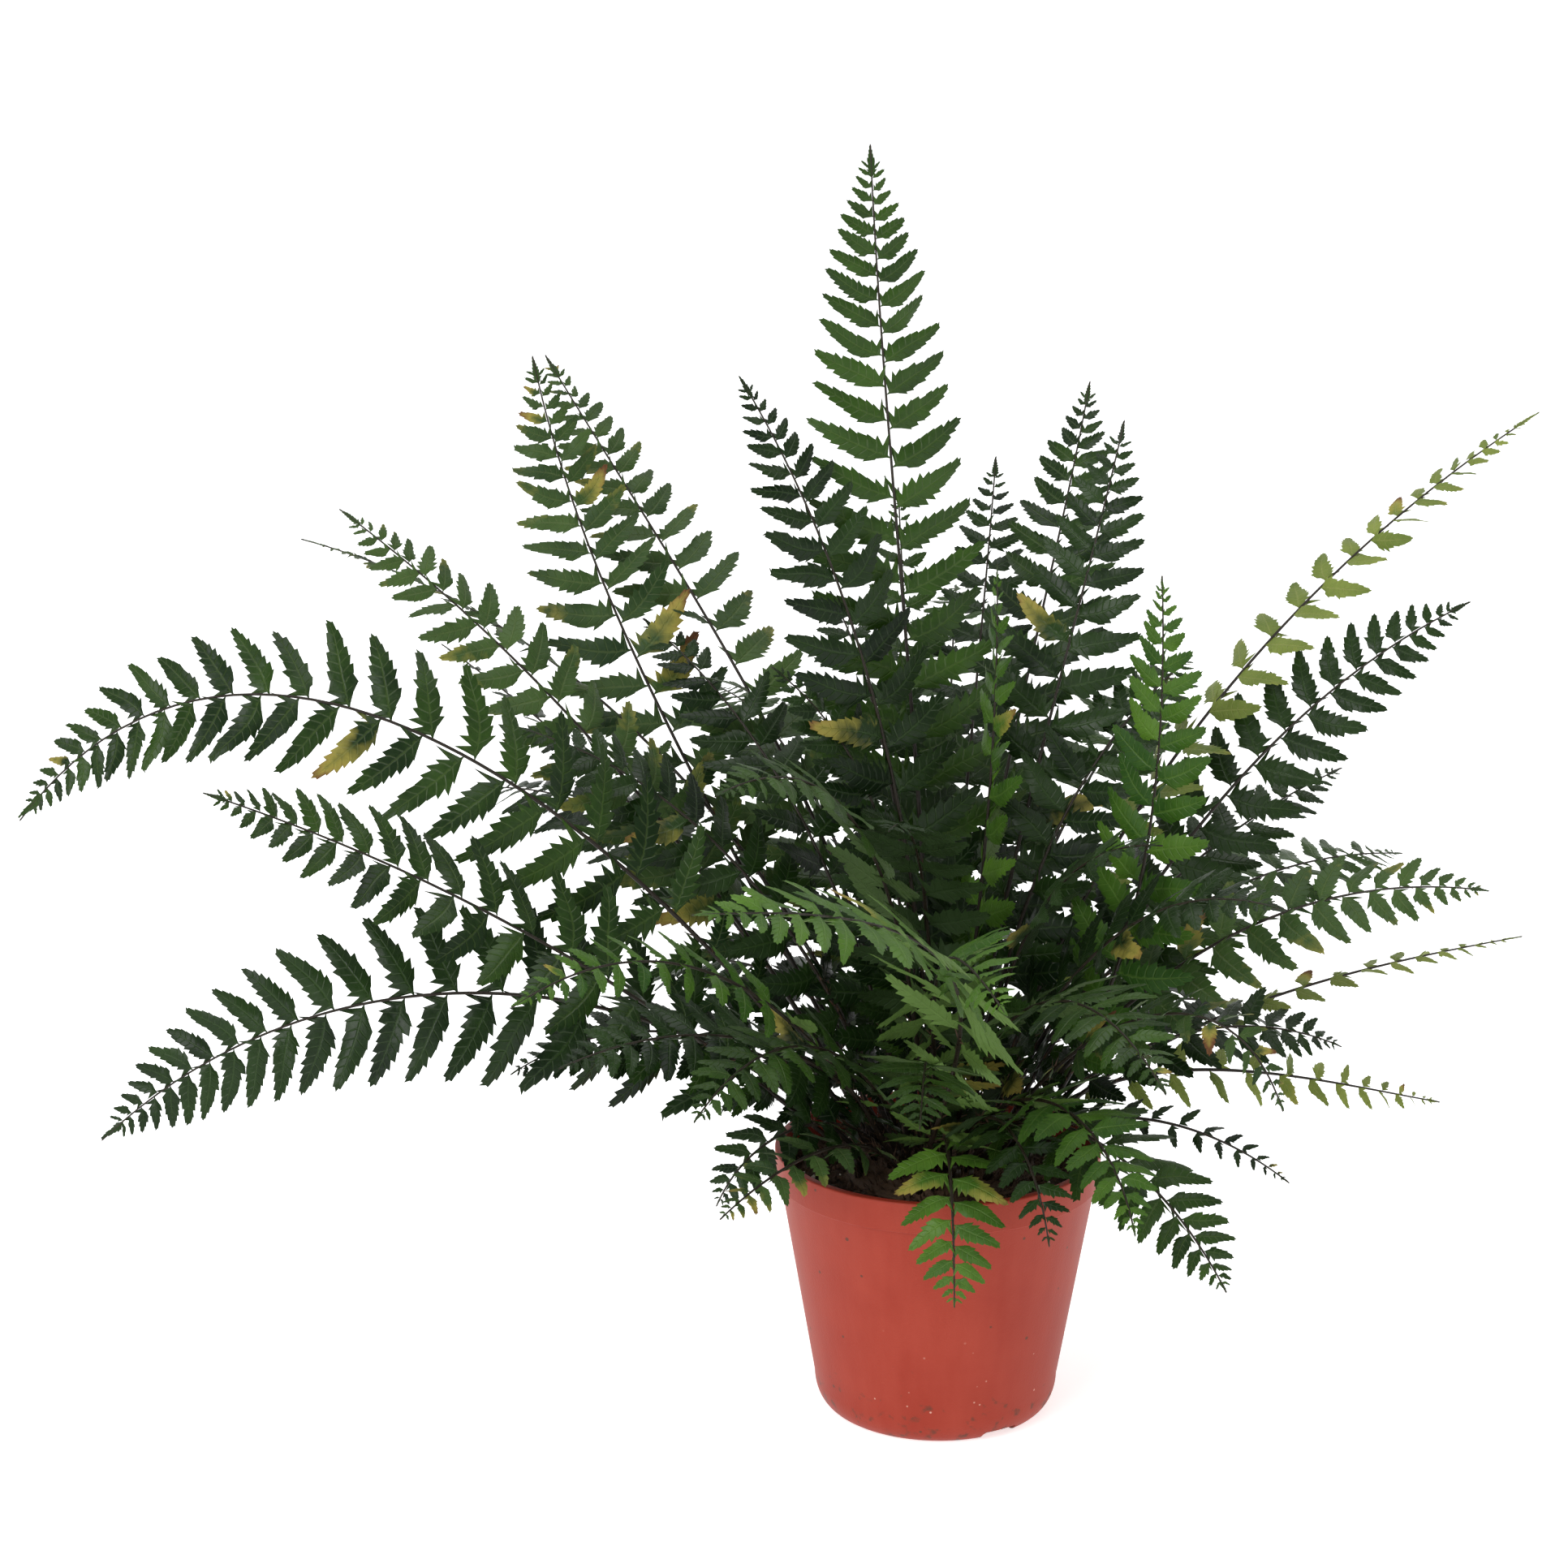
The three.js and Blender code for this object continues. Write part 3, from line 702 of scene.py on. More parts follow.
@dataclass(frozen=True)
class PotFinish(Finish):
    """Moulded terracotta-coloured plastic: satin, a little dusty, splashed with soil at its foot.

    Attributes:
        body: the plastic's own colour.
        worn: the colour where it is rubbed.
        soil: the colour of splashes and specks of soil.
        fleck: the colour of pale flecks near the foot.
        cloud_size: metres across a worn patch.
        streak_size: metres across an upright streak.
        streak_draw: how much longer than wide a streak is, as a factor on height.
        grain_size: metres across the surface's fine grain.
        splash_size: metres across a splash of soil.
        speck_spacing: metres between specks of soil.
        fleck_spacing: metres between pale flecks.
        splash_height: the heights between which splashes and flecks fade out.
    """

    body: Colour = (0.264, 0.0240, 0.0102)
    worn: Colour = (0.330, 0.044, 0.024)
    soil: Colour = (0.080, 0.032, 0.018)
    fleck: Colour = (0.72, 0.46, 0.36)
    cloud_size: float = 30.0 * MM
    streak_size: float = 6.0 * MM
    streak_draw: float = 0.12
    grain_size: float = 0.7 * MM
    splash_size: float = 4.5 * MM
    speck_spacing: float = 11.0 * MM
    fleck_spacing: float = 7.0 * MM
    splash_height: tuple[float, float] = (4.0 * MM, 50.0 * MM)

    def dress(self, mix: Recipe) -> None:
        """Puts the colour, gloss and relief of the pot together.

        Args:
            mix: the recipe to fill in.
        """
        _, _, height = mix.parts(mix.place)
        clouds = mix.noise(self.cloud_size, 4.0)
        streaks = mix.noise(self.streak_size, 3.0, mix.stretched((1.0, 1.0, self.streak_draw)))
        grain = mix.noise(self.grain_size, 2.0)
        colour = mix.mix(mix.scaled(mix.weighed(streaks, 0.5, clouds), 0.45, 1.15), self.body, self.worn)
        low = mix.scaled(height, *self.splash_height, 1.0, 0.0)
        splash = mix.math("MULTIPLY", mix.noise(self.splash_size, 5.0), mix.weighed(low, 0.5, 0.62))
        colour = mix.mix(mix.scaled(splash, 0.60, 0.72, 0.0, 0.75), colour, self.soil)
        specks = mix.weighed(mix.noise(8.0 * MM, 2.0), 0.10, mix.cells(self.speck_spacing))
        colour = mix.mix(mix.scaled(specks, 0.105, 0.125, 0.85, 0.0), colour, self.soil)
        flecks = mix.weighed(mix.noise(12.0 * MM, 2.0), 0.16, mix.cells(self.fleck_spacing))
        flecks = mix.math("MULTIPLY", mix.scaled(flecks, 0.12, 0.15, 0.8, 0.0), low)
        colour = mix.mix(flecks, colour, self.fleck)
        rough = mix.weighed(clouds, 0.18, 0.40)
        bumps = mix.weighed(grain, 0.6, mix.math("MULTIPLY", streaks, 0.4))
        mix.surface(Base_Color=colour, Roughness=rough, Specular_IOR_Level=0.22)
        mix.relief(bumps, 0.18 * MM, 0.8)


@dataclass(frozen=True)
class SoilFinish(Finish):
    """Potting mix: crumbly peat, dark partly of its own and partly by painted shade under the fronds. Its
    grains hold their own tone: bark is low, perlite is high.

    Attributes:
        peat: the colour of the peat, its own dark brown darkened further as painted shade.
        bark: the colour of bark chips and dry peat, darkened further as painted shade.
        perlite: the colour of the white grains.
        crumb_size: metres across a crumb.
        lump_size: metres across a lump.
        fibre_size: metres across the cells of the relief.
    """

    # Peat and bark are darker than the mix's own colours: painted shade under the fronds.
    peat: Colour = (0.016, 0.009, 0.005)
    bark: Colour = (0.085, 0.042, 0.020)
    perlite: Colour = (0.62, 0.56, 0.48)
    crumb_size: float = 1.6 * MM
    lump_size: float = 6.0 * MM
    fibre_size: float = 2.1 * MM

    def dress(self, mix: Recipe) -> None:
        """Puts the colour, gloss and relief of the potting mix together.

        Args:
            mix: the recipe to fill in.
        """
        crumbs = mix.noise(self.crumb_size, 5.0)
        lumps = mix.noise(self.lump_size)
        tone = mix.value_of("tone")
        colour = mix.mix(mix.scaled(mix.weighed(crumbs, 0.6, lumps), 0.55, 1.15), self.peat, self.bark)
        colour = mix.mix(mix.scaled(tone, 0.1, 0.5, 0.0, 0.7), colour, self.bark)
        colour = mix.mix(mix.scaled(tone, 0.7, 0.9, 0.0, 1.0), colour, self.perlite)
        mix.surface(Base_Color=colour, Roughness=0.92)
        mix.relief(mix.weighed(mix.cells(self.fibre_size), 0.7, crumbs), 1.2 * MM)


@dataclass(frozen=True)
class FloorFinish(Finish):
    """A matt, pale studio floor with the faintest grain, lit from below by its own glow.

    Attributes:
        tint: its colour.
        glow: how strongly it shines by itself, so that it stays pale in the plant's shade.
        grain_size: metres across its grain.
    """

    tint: Colour = (0.86, 0.86, 0.86)
    glow: float = 0.74
    grain_size: float = 4.0 * MM

    def dress(self, mix: Recipe) -> None:
        """Puts the colour, gloss and relief of the floor together.

        Args:
            mix: the recipe to fill in.
        """
        mix.surface(Base_Color=self.tint, Roughness=0.9)
        mix.surface(Emission_Color=self.tint, Emission_Strength=self.glow)
        mix.relief(mix.noise(self.grain_size, 2.0), 0.2 * MM, 0.2)


# ---- leaflets ----


@dataclass
class Leaflets:
    """Many leaflets of one frond: where each one grows, which way, and how it is shaped.

    Attributes:
        foot: where each is attached.
        outward: the way it points.
        forward: the way to the frond's tip, square to outward.
        face: the way its upper side looks, square to both.
        length: from its foot to its tip.
        half_width: of its widest part, without the ear.
        lobing: how deep its margin is cut, from 0 to 1.
        droop: how far its tip hangs, as a share of its length.
        fold: how far its two halves fold up about the rib, as a share of their width.
        tone: its shade.
        wither: how dry its tip is.
        side: 1 on the frond's left, -1 on its right.
    """

    foot: Array
    outward: Array
    forward: Array
    face: Array
    length: Array
    half_width: Array
    lobing: Array
    droop: Array
    fold: Array
    tone: Array
    wither: Array
    side: Array

    def where(self, chosen: Array) -> "Leaflets":
        """The leaflets that a mask picks."""
        return Leaflets(**{label: values[chosen] for label, values in vars(self).items()})


# A leaflet's make: along it in shares of its length, across it in half widths.
TIP_TEETH = 0.45
TOOTH_PEAK = 0.62
EAR_PLACE = 0.11
EAR_SPREAD = 0.07
EAR_NOTCH = 0.42
BACK_SHOULDER = 0.30
DEEPEST_CUT = 0.8
FOOT_HALF_WIDTH = 0.10
TOOTH_DIFFERENCE = 0.10
EDGE_WAVE = 0.12
EDGE_WAVE_RATE = 9.0
TWIST = 0.16
CREST_RISE = 0.10
CREST_BEND = 0.20
S_BEND = 0.02
S_BEND_RATE = 5.0
THINNEST = 0.35


@dataclass(frozen=True)
class LeafletPattern:
    """A leaflet's outline: a tapering blade with an ear at its foot and forward-pointing teeth.

    Attributes:
        teeth: teeth on each side.
        lanes: places across the upper side of each half, 1 or 2.
        petiole: the share of the length that the little stalk takes.
        ear: how far the ear stands out on the side of the frond's tip, in half widths.
        fullness: how long it stays broad; 1 tapers evenly.
        sickle: how far the tip curves towards the frond's tip, as a share of the length.
        spread: how much squarer it stands off the midrib than the CAD blade, in the same share.
        bite: how far a tooth leans forward, in teeth.
        thickness: at the rib.
    """

    teeth: int
    lanes: int = 2
    petiole: float = 0.035
    ear: float = 0.62
    fullness: float = 1.9
    sickle: float = 0.12
    spread: float = 0.20
    bite: float = 0.42
    thickness: float = 0.45 * MM

    @property
    def pitch(self) -> float:
        """From one tooth to the next, as a share of the length."""
        return (1.0 - self.petiole) / (self.teeth + TIP_TEETH)

    def stations(self) -> tuple[Array, Array]:
        """Places along the leaflet, from the stalk over tooth and notch in turn to the last notch.

        Returns:
            The places as shares of the length, and 1 for each notch, 0 for each tooth.
        """
        teeth = self.petiole + self.pitch * (np.arange(self.teeth) + TOOTH_PEAK)
        notches = self.petiole + self.pitch * (np.arange(self.teeth) + 1.0)
        places = np.concatenate([[self.petiole], np.stack([teeth, notches], 1).ravel()])
        is_notch = np.concatenate([[0.0], np.tile([0.0, 1.0], self.teeth)])
        return places, is_notch

    def lanes_across(self) -> Array:
        """Places across a ring: over the upper side from edge to edge, then back beneath the rib."""
        upper = np.linspace(-1.0, 1.0, 2 * self.lanes + 1)
        return np.append(upper, 0.0)

    def _margins(self, them: Leaflets, t: Array, is_notch: Array) -> tuple[Array, ...]:
        """How far the two margins stand from the rib, in half widths.

        Both are (1 - t^fullness)^0.8, cut back at every notch by the lobing. The one towards the
        frond's tip has the ear, a bell-shaped swelling near the foot with a notch above it, and the
        other one is narrower near the foot.

        Args:
            them: the leaflets.
            t: the rings' places along the leaflet.
            is_notch: 1 for a ring at a notch, 0 for any other.
        Returns:
            The margin towards the frond's tip and the one away from it, as [leaflet, ring].
        """
        envelope = (1.0 - t**self.fullness) ** 0.8
        ahead = envelope + self.ear * np.exp(-(((t - EAR_PLACE) / EAR_SPREAD) ** 2))
        behind = envelope * (BACK_SHOULDER + (1.0 - BACK_SHOULDER) * smoothstep(0.04, 0.24, t))
        depth = them.lobing[:, None] * (1.0 - 0.45 * t) * is_notch
        ear_notch = np.zeros(len(t))
        ear_notch[2] = EAR_NOTCH
        ahead = ahead * (1.0 - np.minimum(depth + ear_notch, DEEPEST_CUT))
        behind = behind * (1.0 - depth)
        ahead[:, 0] = behind[:, 0] = FOOT_HALF_WIDTH
        return ahead, behind

    def _plumpness(self, t: Array) -> Array:
        """How far each corner stands off the blade's middle: most at the foot, none at the margins.

        Args:
            t: the rings' places along the leaflet.
        Returns:
            Metres, as [ring, lane].
        """
        body = np.zeros(len(self.lanes_across()))
        body[1:-2] = 0.5
        body[-1] = -0.5
        body[self.lanes] = 0.35
        return body * self.thickness * (THINNEST + (1.0 - THINNEST) * (1.0 - t[:, None]))

    def grow(self, them: Leaflets, rng: Draws) -> Skin:
        """Works out all the leaflets at once.

        With t the place along and v the place across, the rib runs out along the leaflet, curves
        forward as t^2 and droops as t^2. The margins stand off it as _margins gives them, the halves
        rise from it as |v| and fall away as v^2, and their edges wave.

        Args:
            them: the leaflets.
            rng: the random draws.
        Returns:
            One skin with all of them, each closed.
        """
        t, is_notch = self.stations()
        v = self.lanes_across()
        count, rings = len(them.length), len(t)
        ahead, behind = self._margins(them, t, is_notch)
        lively = 1.0 + TOOTH_DIFFERENCE * rng.normal(size=(count, rings))
        ahead, behind = ahead * lively, behind * lively
        reach = np.where(v > 0, ahead[:, :, None], behind[:, :, None])
        y = v * reach
        lean = self.bite * self.pitch * (1.0 - is_notch) * (np.arange(rings) > 0)
        x = t[:, None] + lean[:, None] * v**2
        wave_phase = rng.uniform(0.0, TURN, (count, 1, 1))
        wave = EDGE_WAVE * np.sin(wave_phase + EDGE_WAVE_RATE * t[:, None]) * np.abs(y)
        twist = rng.normal(0.0, TWIST, (count, 1, 1)) * t[:, None] * y
        crest = CREST_RISE * np.abs(y) - CREST_BEND * y**2
        z = crest + them.fold[:, None, None] * np.abs(y) + wave + twist
        half = them.half_width[:, None, None]
        size = them.length[:, None, None]
        s_bend = rng.normal(0.0, S_BEND, (count, 1, 1)) * np.sin(S_BEND_RATE * x)
        out = size * x
        fore = half * y + size * (self.sickle * x**2 - self.spread * x + s_bend)
        lift = half * z + self._plumpness(t) - size * them.droop[:, None, None] * x**2
        poles_x = np.array([[0.0, 1.0]])
        poles_out = them.length[:, None] * (poles_x - [[0.02, 0.0]])
        poles_fore = them.length[:, None] * (self.sickle * poles_x**2 - self.spread * poles_x)
        poles_lift = -them.length[:, None] * them.droop[:, None] * poles_x**2
        out = np.concatenate([out.reshape(count, -1), poles_out], 1)[..., None]
        fore = np.concatenate([fore.reshape(count, -1), poles_fore], 1)[..., None]
        lift = np.concatenate([lift.reshape(count, -1), poles_lift], 1)[..., None]
        corners = them.foot[:, None] + out * them.outward[:, None]
        corners = corners + fore * them.forward[:, None] + lift * them.face[:, None]
        return self._skin(them, corners, t, v)

    def _skin(self, them: Leaflets, corners: Array, t: Array, v: Array) -> Skin:
        """Joins the leaflets' corners with faces and maps them.

        Args:
            them: the leaflets.
            corners: positions as [leaflet, corner, xyz], the two end points last.
            t: the rings' places along the leaflet.
            v: the lanes' places across it.
        Returns:
            The skin.
        """
        count, each = corners.shape[:2]
        rings, lanes = len(t), len(v)
        grid = np.arange(rings * lanes).reshape(rings, lanes)
        turned = np.roll(grid, -1, axis=1)
        quads = np.stack([grid[:-1], grid[1:], turned[1:], turned[:-1]], -1).reshape(-1, 4)
        first = np.full(lanes, each - 2)
        last = np.full(lanes, each - 1)
        triangles = np.concatenate([
            np.stack([first, grid[0], turned[0]], -1),
            np.stack([last, turned[-1], grid[-1]], -1),
        ])
        starts = each * np.arange(count)[:, None, None]
        mirrored = (them.side > 0)[:, None, None]
        all_quads = np.where(mirrored, quads[None, :, ::-1], quads[None]) + starts
        all_triangles = np.where(mirrored, triangles[None, :, ::-1], triangles[None]) + starts
        lane_of_quad = np.tile(np.arange(lanes), rings - 1)
        beneath = (lane_of_quad >= lanes - 2).astype(float)
        along = np.concatenate([np.repeat(t, lanes), [0.0, 1.0]])
        across = np.concatenate([np.tile(v, rings), [0.0, 0.0]])
        uv = np.stack([along * (self.teeth + TIP_TEETH), 0.5 + 0.5 * across], -1)
        edge = np.concatenate([np.tile(np.abs(v) == 1.0, rings), [True, True]])
        dryness = np.clip(them.wither[:, None] * (0.15 + along**1.5 + 0.25 * np.abs(across)), 0.0, 1.0)
        return Skin(
            corners.reshape(-1, 3), all_quads.reshape(-1, 4), all_triangles.reshape(-1, 3),
            np.tile(uv, (count, 1)), np.repeat(them.tone, each), dryness.ravel(),
            np.tile(edge, count), 0, np.tile(beneath, count),
        )


# Leaflets by their least length: the longest have the most teeth.
PATTERNS = (
    (20.0 * MM, LeafletPattern(teeth=9)),
    (12.0 * MM, LeafletPattern(teeth=7)),
    (6.0 * MM, LeafletPattern(teeth=5, ear=0.35, fullness=1.3)),
    (0.0, LeafletPattern(teeth=3, lanes=1, ear=0.1, fullness=1.0, thickness=0.25 * MM)),
)

# The blade in which a frond's last pairs merge.
LAST_PATTERN = LeafletPattern(teeth=8, ear=0.05, fullness=1.1, sickle=0.0, spread=0.0)


# ---- fronds ----

# How every frond grows; these are the CAD model's own values.
STALK_DIAMETER = 2.4 * MM
STALK_TIP_DIAMETER = 0.8 * MM
STALK_STEPS = 5
PINNA_SPACING = 15.5 * MM
CROWDING = 1.7
MERGED_PAIRS = 5
FEWEST_PAIRS = 4
PINNA_ANGLE = 64.0
PINNA_TIP_ANGLE = 50.0
SECTION = np.array([[0.9, 0.4], [-0.9, 0.4], [0.0, -0.9]])
FOOT_WIDTH = 0.72
SWELL_RATE = 2.8
TAPER = 0.62
CROWN_GAP = 0.3 * MM
EXTRA_BOWS = np.array([0, 8, -8, 16, -16, 24, -24, 36, -36]) * MM
LEAFLET_TURNS = np.array([0, 14, -14, 28, -28, 42, -42])
LEAFLET_SHARES = np.array([1.0, 0.8, 0.6, 0.4])
LEAST_TURN = 20.0
UNEVENNESS = 7.0
PHASES = (2.4, 1.7, 0.9)

# A corner this near to a corner of the CAD solid is taken for the same one.
SAME_PLACE = 0.15 * MM

# What the CAD solid leaves out: small pairs below the blade, close pairs in its upper part, from
# this share of the pairs on, and the last pairs that merge into one blade, from this share of the
# midrib on.
LOWER_PAIRS = 5
CLOSE_FROM = 0.55
CLOSE_STEPS = np.geomspace(0.95, 0.36, 40)
LAST_FROM = 0.968
FIRST_FROM = 0.06

# Fronds whose tips are lower than this, and dark ones, keep broad pairs below the blade.
LOW_TIP = 150.0 * MM
BROAD_BELOW = 0.90
NARROW_BELOW = 0.60

# How dry leaflets are, in dryness: a share of the habit's spread that all of them have, what a
# leaflet that dries up gets, and from which share of the blade the tip is drier still.
ALL_TIRED = 0.6
DRIED_UP = 0.55
DRY_TIP_FROM = 0.97

# Leaflets beside the CAD's: a little longer in the blade's middle, shorter at its tip. Lobes are
# deepest on a blade of this half width.
MIDDLE_GAIN = 0.12
TIP_LOSS = 0.36
LOBING = 0.42
LOBED_WIDTH = 34.0 * MM

# A leaflet's half width: at most this share of the step to the next pair, more towards the tip.
FILL = 0.47
TIP_FILL = 0.10

# The midrib and the scales on it.
MIDRIB_RINGS = 56
GROOVE_DEPTH = 0.22
GROOVE_WIDTH = 0.6
SCALES_PER_STALK = 44
SCALE_LENGTHS = (2.0, 5.2)

# One row for each frond: its name, where its tip is (right, back and rise above the crown, in millimetres),
# the angle it leaves the crown at, the angle it ends at, how far it bows to its own left, how far
# its face leans to its own left, the blade's half width, the bare share of its length, its colour.
FROND_PLAN = (
    ("top", -26, 70, 368, 89, 82, 0, 0, 41, 0.3, Tone.MATURE),
    ("top_left", -74, 40, 287, 88, 54, 0, 25, 34, 0.32, Tone.DARK),
    ("upper_left", -154, 105, 285, 58, 76, 0, 42, 37, 0.3, Tone.OLIVE),
    ("upper_left_back", -152, 150, 279, 77, 50, -8, 16, 35, 0.3, Tone.OLIVE),
    ("left_shoulder", -224, 60, 234, 60, 34, 0, 34, 32, 0.32, Tone.OLIVE),
    ("left_shoulder_back", -247, 120, 211, 70, 8, 0, -24, 20, 0.38, Tone.OLIVE),
    ("left_thin", -192, 110, 171, 60, 26, 0, -16, 21, 0.36, Tone.DARK),
    ("left_arch", -326, -50, 144, 58, -52, 0, 52, 40, 0.3, Tone.MATURE),
    ("left_straight", -251, -110, 170, 44, 24, 0, 44, 35, 0.3, Tone.MATURE),
    ("left_low", -299, -70, 32, 50, -42, 0, 66, 37, 0.32, Tone.DARK),
    ("front_left_young", -145, -170, 115, 58, -14, 0, 36, 20, 0.36, Tone.YOUNG),
    ("front_sweep", -85, -235, 166, 58, 8, 75, 30, 34, 0.34, Tone.YOUNG),
    ("front_left_mid", -80, -140, 177, 80, -8, 10, 30, 27, 0.34, Tone.MATURE),
    ("front_comb", 12, -200, 122, 70, -12, -26, -30, 27, 0.34, Tone.YOUNG),
    ("centre_upright", 20, 20, 221, 86, 84, -10, 30, 27, 0.32, Tone.YOUNG),
    ("right_glossy", 76, -20, 225, 52, 94, -6, -56, 31, 0.28, Tone.YOUNG),
    ("upper_right_back", 61, 120, 273, 84, 66, 0, 6, 36, 0.32, Tone.MATURE),
    ("upper_right", 68, 50, 269, 85, 70, -8, -34, 33, 0.32, Tone.DARK),
    ("back_thin_right", 28, 170, 235, 78, 58, 0, 0, 27, 0.36, Tone.DARK),
    ("back_thin_left", -12, 150, 226, 82, 66, 0, 0, 24, 0.38, Tone.MATURE),
    ("right_long", 225, 70, 269, 72, 30, 6, -6, 24, 0.36, Tone.PALE),
    ("right_shoulder", 195, 30, 205, 62, 24, 0, -52, 31, 0.32, Tone.DARK),
    ("right_mid", 191, -50, 118, 60, -4, 0, -36, 28, 0.3, Tone.OLIVE),
    ("right_pale", 221, 30, 76, 46, 8, 0, 4, 17, 0.34, Tone.PALE),
    ("right_hook", 114, -100, 54, 62, -74, -12, -24, 18, 0.4, Tone.OLIVE),
    ("right_tapered", 195, 40, 6, 46, -14, 0, -34, 15, 0.36, Tone.PALE),
    ("right_wisp", 123, -60, 12, 52, -32, 0, -20, 12, 0.4, Tone.DARK),
    ("front_right_low", 95, -112, -8, 64, -50, 0, -14, 28, 0.3, Tone.MATURE),
    ("front_right_rim", 62, -122, 17, 66, -52, 8, -10, 25, 0.32, Tone.YOUNG),
    ("front_hanging", 2, -97, -20, 72, -80, 0, 0, 24, 0.3, Tone.YOUNG),
    ("front_dark", 34, -107, 7, 72, -66, 0, -6, 20, 0.34, Tone.DARK),
    ("rim_small", -80, -90, 10, 58, -22, 0, 22, 16, 0.36, Tone.OLIVE),
    ("rim_left", -82, -52, 0, 62, -62, 0, 20, 21, 0.32, Tone.DARK),
    ("left_front_low", -134, -110, 73, 62, -10, 0, 30, 27, 0.28, Tone.DARK),
    ("left_inner", -156, 20, 160, 72, 14, 0, 26, 31, 0.3, Tone.DARK),
    ("right_inner_back", 160, 90, 126, 62, 14, 0, -20, 29, 0.3, Tone.DARK),
    ("centre_left", -62, 10, 185, 86, 36, 0, 30, 31, 0.32, Tone.DARK),
    ("centre_right", 92, 25, 185, 80, 36, 0, -36, 31, 0.32, Tone.DARK),
    ("centre_front", -22, -86, 150, 84, 0, 0, 10, 31, 0.32, Tone.DARK),
    ("centre_back", -40, 92, 196, 84, 30, 0, 12, 31, 0.3, Tone.DARK),
    ("left_back_inner", -112, 88, 186, 78, 26, 0, 18, 31, 0.3, Tone.DARK),
    ("right_front_inner", 74, -62, 138, 78, 6, 0, -16, 29, 0.28, Tone.DARK),
    ("front_right_mid", 112, -84, 122, 70, -6, 0, -24, 30, 0.3, Tone.DARK),
    ("front_left_low", -88, -122, 58, 68, -34, 0, 20, 27, 0.3, Tone.MATURE),
    ("front_right_arch", 66, -166, 84, 70, -28, 0, -14, 30, 0.3, Tone.MATURE),
    ("left_skirt", -158, -18, 38, 58, -34, 0, 24, 28, 0.28, Tone.DARK),
    ("right_skirt", 148, -10, 46, 58, -24, 0, -22, 26, 0.28, Tone.DARK),
    ("back", 16, 238, 168, 68, 4, 0, 8, 37, 0.3, Tone.MATURE),
    ("back_right", 112, 196, 146, 66, 6, 0, -10, 36, 0.3, Tone.MATURE),
    ("back_left", -86, 218, 128, 64, -6, 0, 12, 36, 0.3, Tone.MATURE),
    ("back_far_left", -186, 186, 92, 58, -14, 0, 16, 34, 0.3, Tone.DARK),
    ("back_far_right", 196, 150, 74, 56, -12, 0, -14, 32, 0.3, Tone.MATURE),
    ("back_skirt_right", 66, 166, 22, 60, -44, 0, -8, 29, 0.28, Tone.DARK),
    ("back_skirt_middle", -22, 182, 14, 60, -46, 0, 4, 29, 0.28, Tone.MATURE),
    ("back_skirt_left", -118, 134, 18, 60, -44, 0, 12, 28, 0.28, Tone.DARK),
    ("back_skirt_far_right", 144, 96, 12, 58, -42, 0, -10, 27, 0.28, Tone.DARK),
    ("front_low_middle", -12, -128, 58, 74, -28, 0, 4, 28, 0.28, Tone.MATURE),
)


@dataclass
class Arch:
    """A midrib's line: a cubic curve from its seat to its tip, walked by distance.

    Attributes:
        handles: the curve's four points.
        times: 201 even steps of the curve's own parameter.
        distances: how far along the line each step is.
    """

    handles: Array
    times: Array = field(init=False)
    distances: Array = field(init=False)

    def __post_init__(self) -> None:
        """Measures the line."""
        self.times = np.linspace(0.0, 1.0, 201)
        steps = np.linalg.norm(np.diff(self.at_time(self.times), axis=0), axis=1)
        self.distances = np.concatenate([[0.0], np.cumsum(steps)])

    @property
    def length(self) -> float:
        """The line's length."""
        return float(self.distances[-1])

    def at_time(self, times: Array) -> Array:
        """Points by the curve's own parameter: (1-t)^3 a + 3t(1-t)^2 b + 3t^2(1-t) c + t^3 d.

        Args:
            times: values of t, from 0 to 1.
        Returns:
            One point for each.
        """
        t = np.asarray(times)[:, None]
        a, b, c, d = self.handles
        return (1 - t) ** 3 * a + 3 * t * (1 - t) ** 2 * b + 3 * t**2 * (1 - t) * c + t**3 * d

    def at(self, shares: Array) -> tuple[Array, Array]:
        """Points and directions at shares of the line's length.

        Args:
            shares: from 0 at the seat to 1 at the tip.
        Returns:
            The points, and the line's unit direction at each of them.
        """
        times = np.interp(np.asarray(shares) * self.length, self.distances, self.times)
        nudge = 1e-4
        ahead = self.at_time(np.minimum(times + nudge, 1.0))
        behind = self.at_time(np.maximum(times - nudge, 0.0))
        return self.at_time(times), unit(ahead - behind)


@dataclass
class Sprouts:
    """Where leaflets stand on a midrib.

    Attributes:
        centre: the midrib's centre below each.
        middle: the middle of each one's foot, on the midrib's side.
        along: the midrib's direction.
        left: the midrib's left side.
        face: the way the blade's upper side looks.
        blade_share: how far up the blade each is.
        angle: between the midrib and the leaflet, in radians.
        spacing: the distance to the next pair.
        uneven: a small turn of its own, in degrees.
        length: its full length.
        side: 1 on the left, -1 on the right.
    """

    centre: Array
    middle: Array
    along: Array
    left: Array
    face: Array
    blade_share: Array
    angle: Array
    spacing: Array
    uneven: Array
    length: Array
    side: Array

    def outward(self, turns: Array) -> Array:
        """The ways the leaflets point when turned down about the midrib.

        Args:
            turns: degrees as [leaflet, choice].
        Returns:
            Directions as [leaflet, choice, xyz].
        """
        turn = np.radians(turns)[..., None]
        sine, cosine = np.sin(self.angle)[:, None, None], np.cos(self.angle)[:, None, None]
        across = self.left[:, None] * self.side[:, None, None] * np.cos(turn)
        return self.along[:, None] * cosine + (across - self.face[:, None] * np.sin(turn)) * sine


@dataclass(frozen=True)
class Habit:
    """How the leaflets of a frond hang and how dry they are.

    Attributes:
        twist: the spread of their turns about themselves, in degrees.
        tired: the spread of their dryness.
        droop: how far their tips hang, as a share of their length.
        fold: how far their halves fold up, as a share of their half width.
    """

    twist: float
    tired: float
    droop: float
    fold: float


